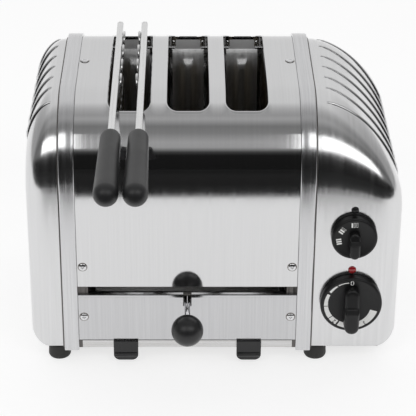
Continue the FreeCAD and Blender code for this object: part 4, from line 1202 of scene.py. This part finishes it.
def makeStrap(side, x):
    look = cageLook
    half, edge = look["wide"] / 2, look["edge"]
    outline = [(x + half, look["front"]), (x + half, look["back"] - half)]
    outline += [
        (x + half * math.cos(a), look["back"] - half + half * math.sin(a))
        for a in (math.pi * k / 12 for k in range(1, 12))
    ]
    outline += [(x - half, look["back"] - half), (x - half, look["front"])]
    levels = [(look["low"], edge), (look["low"] + edge, 0), (look["high"] - edge, 0), (look["high"], edge)]
    points, count = [], len(outline)
    for z, inset in levels:
        for px, y in outline:
            across = x + (px - x) * (1 - inset / half)
            points.append((across * mm, (y - (inset if y > 50 else 0)) * mm, z * mm))
    faces = gridFaces(len(levels), count, closedColumns=True)
    faces += [tuple(range(count)), tuple(range(3 * count, 4 * count))]
    piece = makePiece(
        "cageStrap" + side.title(), points, faces, "strapSteel", "cage_" + side, 50,
    )
    outwards(piece)
    return piece


def makeCageWires(side, x):
    look = cageLook
    inner = 1 if side == "left" else -1
    hingeX, low = look["hinge"]
    path, step = [], 2 * look["half"] / (look["runs"] - 1)
    for run in range(look["runs"]):
        y = -look["half"] + run * step
        turn = 1 if run % 2 == 0 else -1
        legs = [(x + inner * 0.4, y, low + 1.5), (x + inner * 0.9, y, 206), (x + inner * 3.2, y, 220)]
        path += legs if turn > 0 else legs[::-1]
        if run < look["runs"] - 1:
            for k in range(1, 8):
                a = math.pi * k / 8
                wy = y + step * (1 - math.cos(a)) / 2
                if turn > 0:
                    path.append((x + inner * (3.2 + 0.7 * math.sin(a)), wy, 220 + 8.6 * math.sin(a)))
                else:
                    path.append((x + inner * 0.4, wy, low + 1.5 - 1.2 * math.sin(a)))
    rails = [[(x, -look["half"], low), (x, look["half"], low)]]
    rails += [[(x + inner * 1.2, -look["half"], z), (x + inner * 1.2, look["half"], z)] for z in (140, 180)]
    piece = makeWires(
        "cageWires" + side.title(), [path] + rails, look["wire"], "wireBright", "cage_" + side,
        10,
    )
    knuckles, middle = [], 40 if side == "left" else 28
    for y in (-middle, middle):
        knuckles.append([(x, y, low), ((x + hingeX) / 2, y, low), (hingeX, y, low)])
    links = makeWires(
        "cageLinks" + side.title(), knuckles, 1.3, "wireBright", "cage_" + side, 10
    )
    for y in (-middle, middle):
        outline = [(1.6, -4), (2.9, -4), (3.2, -3.7), (3.2, 3.7), (2.9, 4), (1.6, 4), (1.6, -4)]
        name = f"cageKnuckle{side.title()}{'Front' if y < 0 else 'Back'}"
        lathe(
            name, outline, Vector((hingeX, y, low)) * mm, (0, 1, 0), "wireBright", "cage_" + side, 28, 35,
        )
    return piece, links


def makeHandle(side, x):
    z = (cageLook["low"] + cageLook["high"]) / 2
    outline = [(0, 0), (5.2, 0), (6.4, 0.25), (7.1, 1.0), (7.35, 2.4), (7.5, 5.0)]
    outline += [(7.5 + 1.3 * k / 12, 5.0 + 82.0 * k / 12) for k in range(1, 13)]
    for k in range(1, 13):
        turn = math.pi / 2 * k / 12
        outline.append((8.8 * math.cos(turn), 87.0 + 8.8 * math.sin(turn)))
    outline[-1] = (0, 95.8)
    made = lathe(
        "cageHandle" + side.title(), outline, Vector((x, cageLook["handleFrom"], z)) * mm, (0, -1, 0),
        "handleBlack", "cage_" + side, 48, 40,
    )
    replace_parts(made, "cage_handle_" + side)


for side, x in cageLook["straps"].items():
    strap = makeStrap(side, x)
    makeCageWires(side, x)
    makeHandle(side, x)
    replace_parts(strap, "cage_half_" + side)
pinX, pinZ = cageLook["hinge"]
pinLong = 2 * cageLook["pinHalf"]
pinOutline = [(0, 0), (1.1, 0), (1.5, 0.4), (1.5, pinLong - 0.4), (1.1, pinLong), (0, pinLong)]
pin = lathe(
    "cagePin", pinOutline, Vector((pinX, -cageLook["pinHalf"], pinZ)) * mm, (0, 1, 0), "wireBright",
    "cage_left", 24, 30,
)
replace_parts(pin, "cage_pin")
bpy.data.objects.remove(screwPart)
print("cage made")


# floor, light and camera
lightLook = dict(
    sky=((0, 0.84), (70, 0.80), (82, 0.55), (92, 0.40), (101, 0.46), (113, 0.23), (124, 0.27), (138, 0.44),
         (146, 0.42), (153, 0.06), (158, 0.012), (180, 0.010)),
    sides=(0.40, 0.85, 0.5), lampWide=1.50, lampHigh=0.62, lampPower=5.0, lampGap=0.185, lampAt=(-1.20, 1.23),
    lampAim=(-0.08, 0.20), darkFrom=-0.38, backdrop=0.88, floorGrey=0.45, floorGlow=0.72, runnerGrey=0.02,
)


def makeSheet(name, low, high, level, grey, glow):
    # a flat sheet of the set, from one corner to the other at one height
    mesh = bpy.data.meshes.new(name)
    corners = [(low[0], low[1]), (high[0], low[1]), (high[0], high[1]), (low[0], high[1])]
    mesh.from_pydata([(x, y, level) for x, y in corners], [], [(0, 1, 2, 3)])
    thing = bpy.data.objects.new(name, mesh)
    scene.collection.objects.link(thing)
    material, tree, shader = startMaterial(name + "Paper")
    marks = useGroup(tree, handledMarks, (-1000, 0), Size=1.5, Amount=0.3)
    colours = [(grey, grey, grey), (grey * 0.96, grey * 0.96, grey * 0.96)]
    tree.links.new(mixColours(tree, marks.outputs["Mask"], *colours), shader.inputs["Base Color"])
    shader.inputs["Roughness"].default_value = 0.9
    shader.inputs["Specular IOR Level"].default_value = 0.1
    shader.inputs["Emission Color"].default_value = (1, 1, 1, 1)
    shader.inputs["Emission Strength"].default_value = glow
    mesh.materials.append(material)
    return thing


def makeFloor(look):
    makeSheet("floor", (-4, -4), (4, 4), 0.0, look["floorGrey"], look["floorGlow"])
    runner = makeSheet("darkRunner", (-60, -60), (60, look["darkFrom"]), 0.002, look["runnerGrey"], 0.0)
    # the runner is only mirrored in the steel
    runner.visible_camera = runner.visible_diffuse = runner.visible_shadow = False


def makeSky(look):
    world = bpy.data.worlds.new("studio")
    scene.world = world
    world.use_nodes = True
    tree = world.node_tree
    back = tree.nodes["Background"]
    coord = addNode(tree, "ShaderNodeTexCoord", (-1200, 0))
    split = addNode(tree, "ShaderNodeSeparateXYZ", (-1000, 0))
    turn = addNode(tree, "ShaderNodeMath", (-800, 0), operation="ARCTAN2")
    share = addNode(tree, "ShaderNodeMath", (-600, 0), operation="DIVIDE")
    ramp = addNode(tree, "ShaderNodeValToRGB", (-400, 0))
    share.inputs[1].default_value = math.pi
    tree.links.new(coord.outputs["Generated"], split.inputs[0])
    above = addNode(tree, "ShaderNodeMath", (-900, 150), operation="ABSOLUTE")
    aside = addNode(tree, "ShaderNodeMath", (-800, -200), operation="ABSOLUTE")
    dim = addNode(tree, "ShaderNodeMapRange", (-400, -250))
    nearSide, farSide, dimmed = look["sides"]
    dimValues = {"From Min": nearSide, "From Max": farSide, "To Min": 1.0, "To Max": dimmed}
    for label, value in dimValues.items():
        dim.inputs[label].default_value = value
    tree.links.new(split.outputs["X"], aside.inputs[0])
    tree.links.new(aside.outputs[0], dim.inputs["Value"])
    tree.links.new(dim.outputs["Result"], back.inputs["Strength"])
    tree.links.new(split.outputs["Z"], above.inputs[0])
    tree.links.new(above.outputs[0], turn.inputs[0])
    tree.links.new(split.outputs["Y"], turn.inputs[1])
    tree.links.new(turn.outputs[0], share.inputs[0])
    tree.links.new(share.outputs[0], ramp.inputs[0])
    tree.links.new(ramp.outputs["Color"], back.inputs["Color"])
    plain = addNode(tree, "ShaderNodeBackground", (-400, 250))
    plain.inputs["Color"].default_value = (look["backdrop"],) * 3 + (1,)
    seen = addNode(tree, "ShaderNodeLightPath", (-400, 600))
    either = addNode(tree, "ShaderNodeMixShader", (200, 200))
    tree.links.new(seen.outputs["Is Camera Ray"], either.inputs[0])
    tree.links.new(back.outputs["Background"], either.inputs[1])
    tree.links.new(plain.outputs["Background"], either.inputs[2])
    tree.links.new(either.outputs["Shader"], tree.nodes["World Output"].inputs["Surface"])
    stops = look["sky"]
    while len(ramp.color_ramp.elements) < len(stops):
        ramp.color_ramp.elements.new(0.5)
    for element, (angle, value) in zip(ramp.color_ramp.elements, stops):
        element.position = angle / 180
        element.color = (value, value, value, 1)


def makeLamp(name, kind, spot, target, **values):
    lamp = bpy.data.lights.new(name, kind)
    for key, value in values.items():
        setattr(lamp, key, value)
    thing = bpy.data.objects.new(name, lamp)
    thing.location = spot
    thing.rotation_euler = (Vector(target) - Vector(spot)).to_track_quat("-Z", "Y").to_euler()
    scene.collection.objects.link(thing)
    return thing


cameraLook = dict(place=(-1.27276, 0.77387), pitch=61.61, chip=36.0, lens=150.602885, shift=0.04963942)


def makeCamera(look):
    lens = bpy.data.cameras.new("mainView")
    camera = bpy.data.objects.new("mainView", lens)
    lens.sensor_width = look["chip"]
    lens.lens = look["lens"]
    lens.shift_x = look["shift"]
    camera.location = (middleX, *look["place"])
    camera.rotation_euler = (math.radians(look["pitch"]), 0, 0)
    lens.clip_start = 0.05
    scene.collection.objects.link(camera)
    scene.camera = camera


makeFloor(lightLook)
makeSky(lightLook)
for side in (-1, 1):
    lampX = middleX + side * (lightLook["lampGap"] + lightLook["lampWide"] / 2)
    makeLamp(
        "softboxLeft" if side < 0 else "softboxRight", "AREA", (lampX, *lightLook["lampAt"]),
        (lampX, *lightLook["lampAim"]), shape="RECTANGLE", size=lightLook["lampWide"],
        size_y=lightLook["lampHigh"], energy=lightLook["lampPower"],
    )
makeCamera(cameraLook)
scene.view_settings.view_transform = "Standard"
print("stage made")
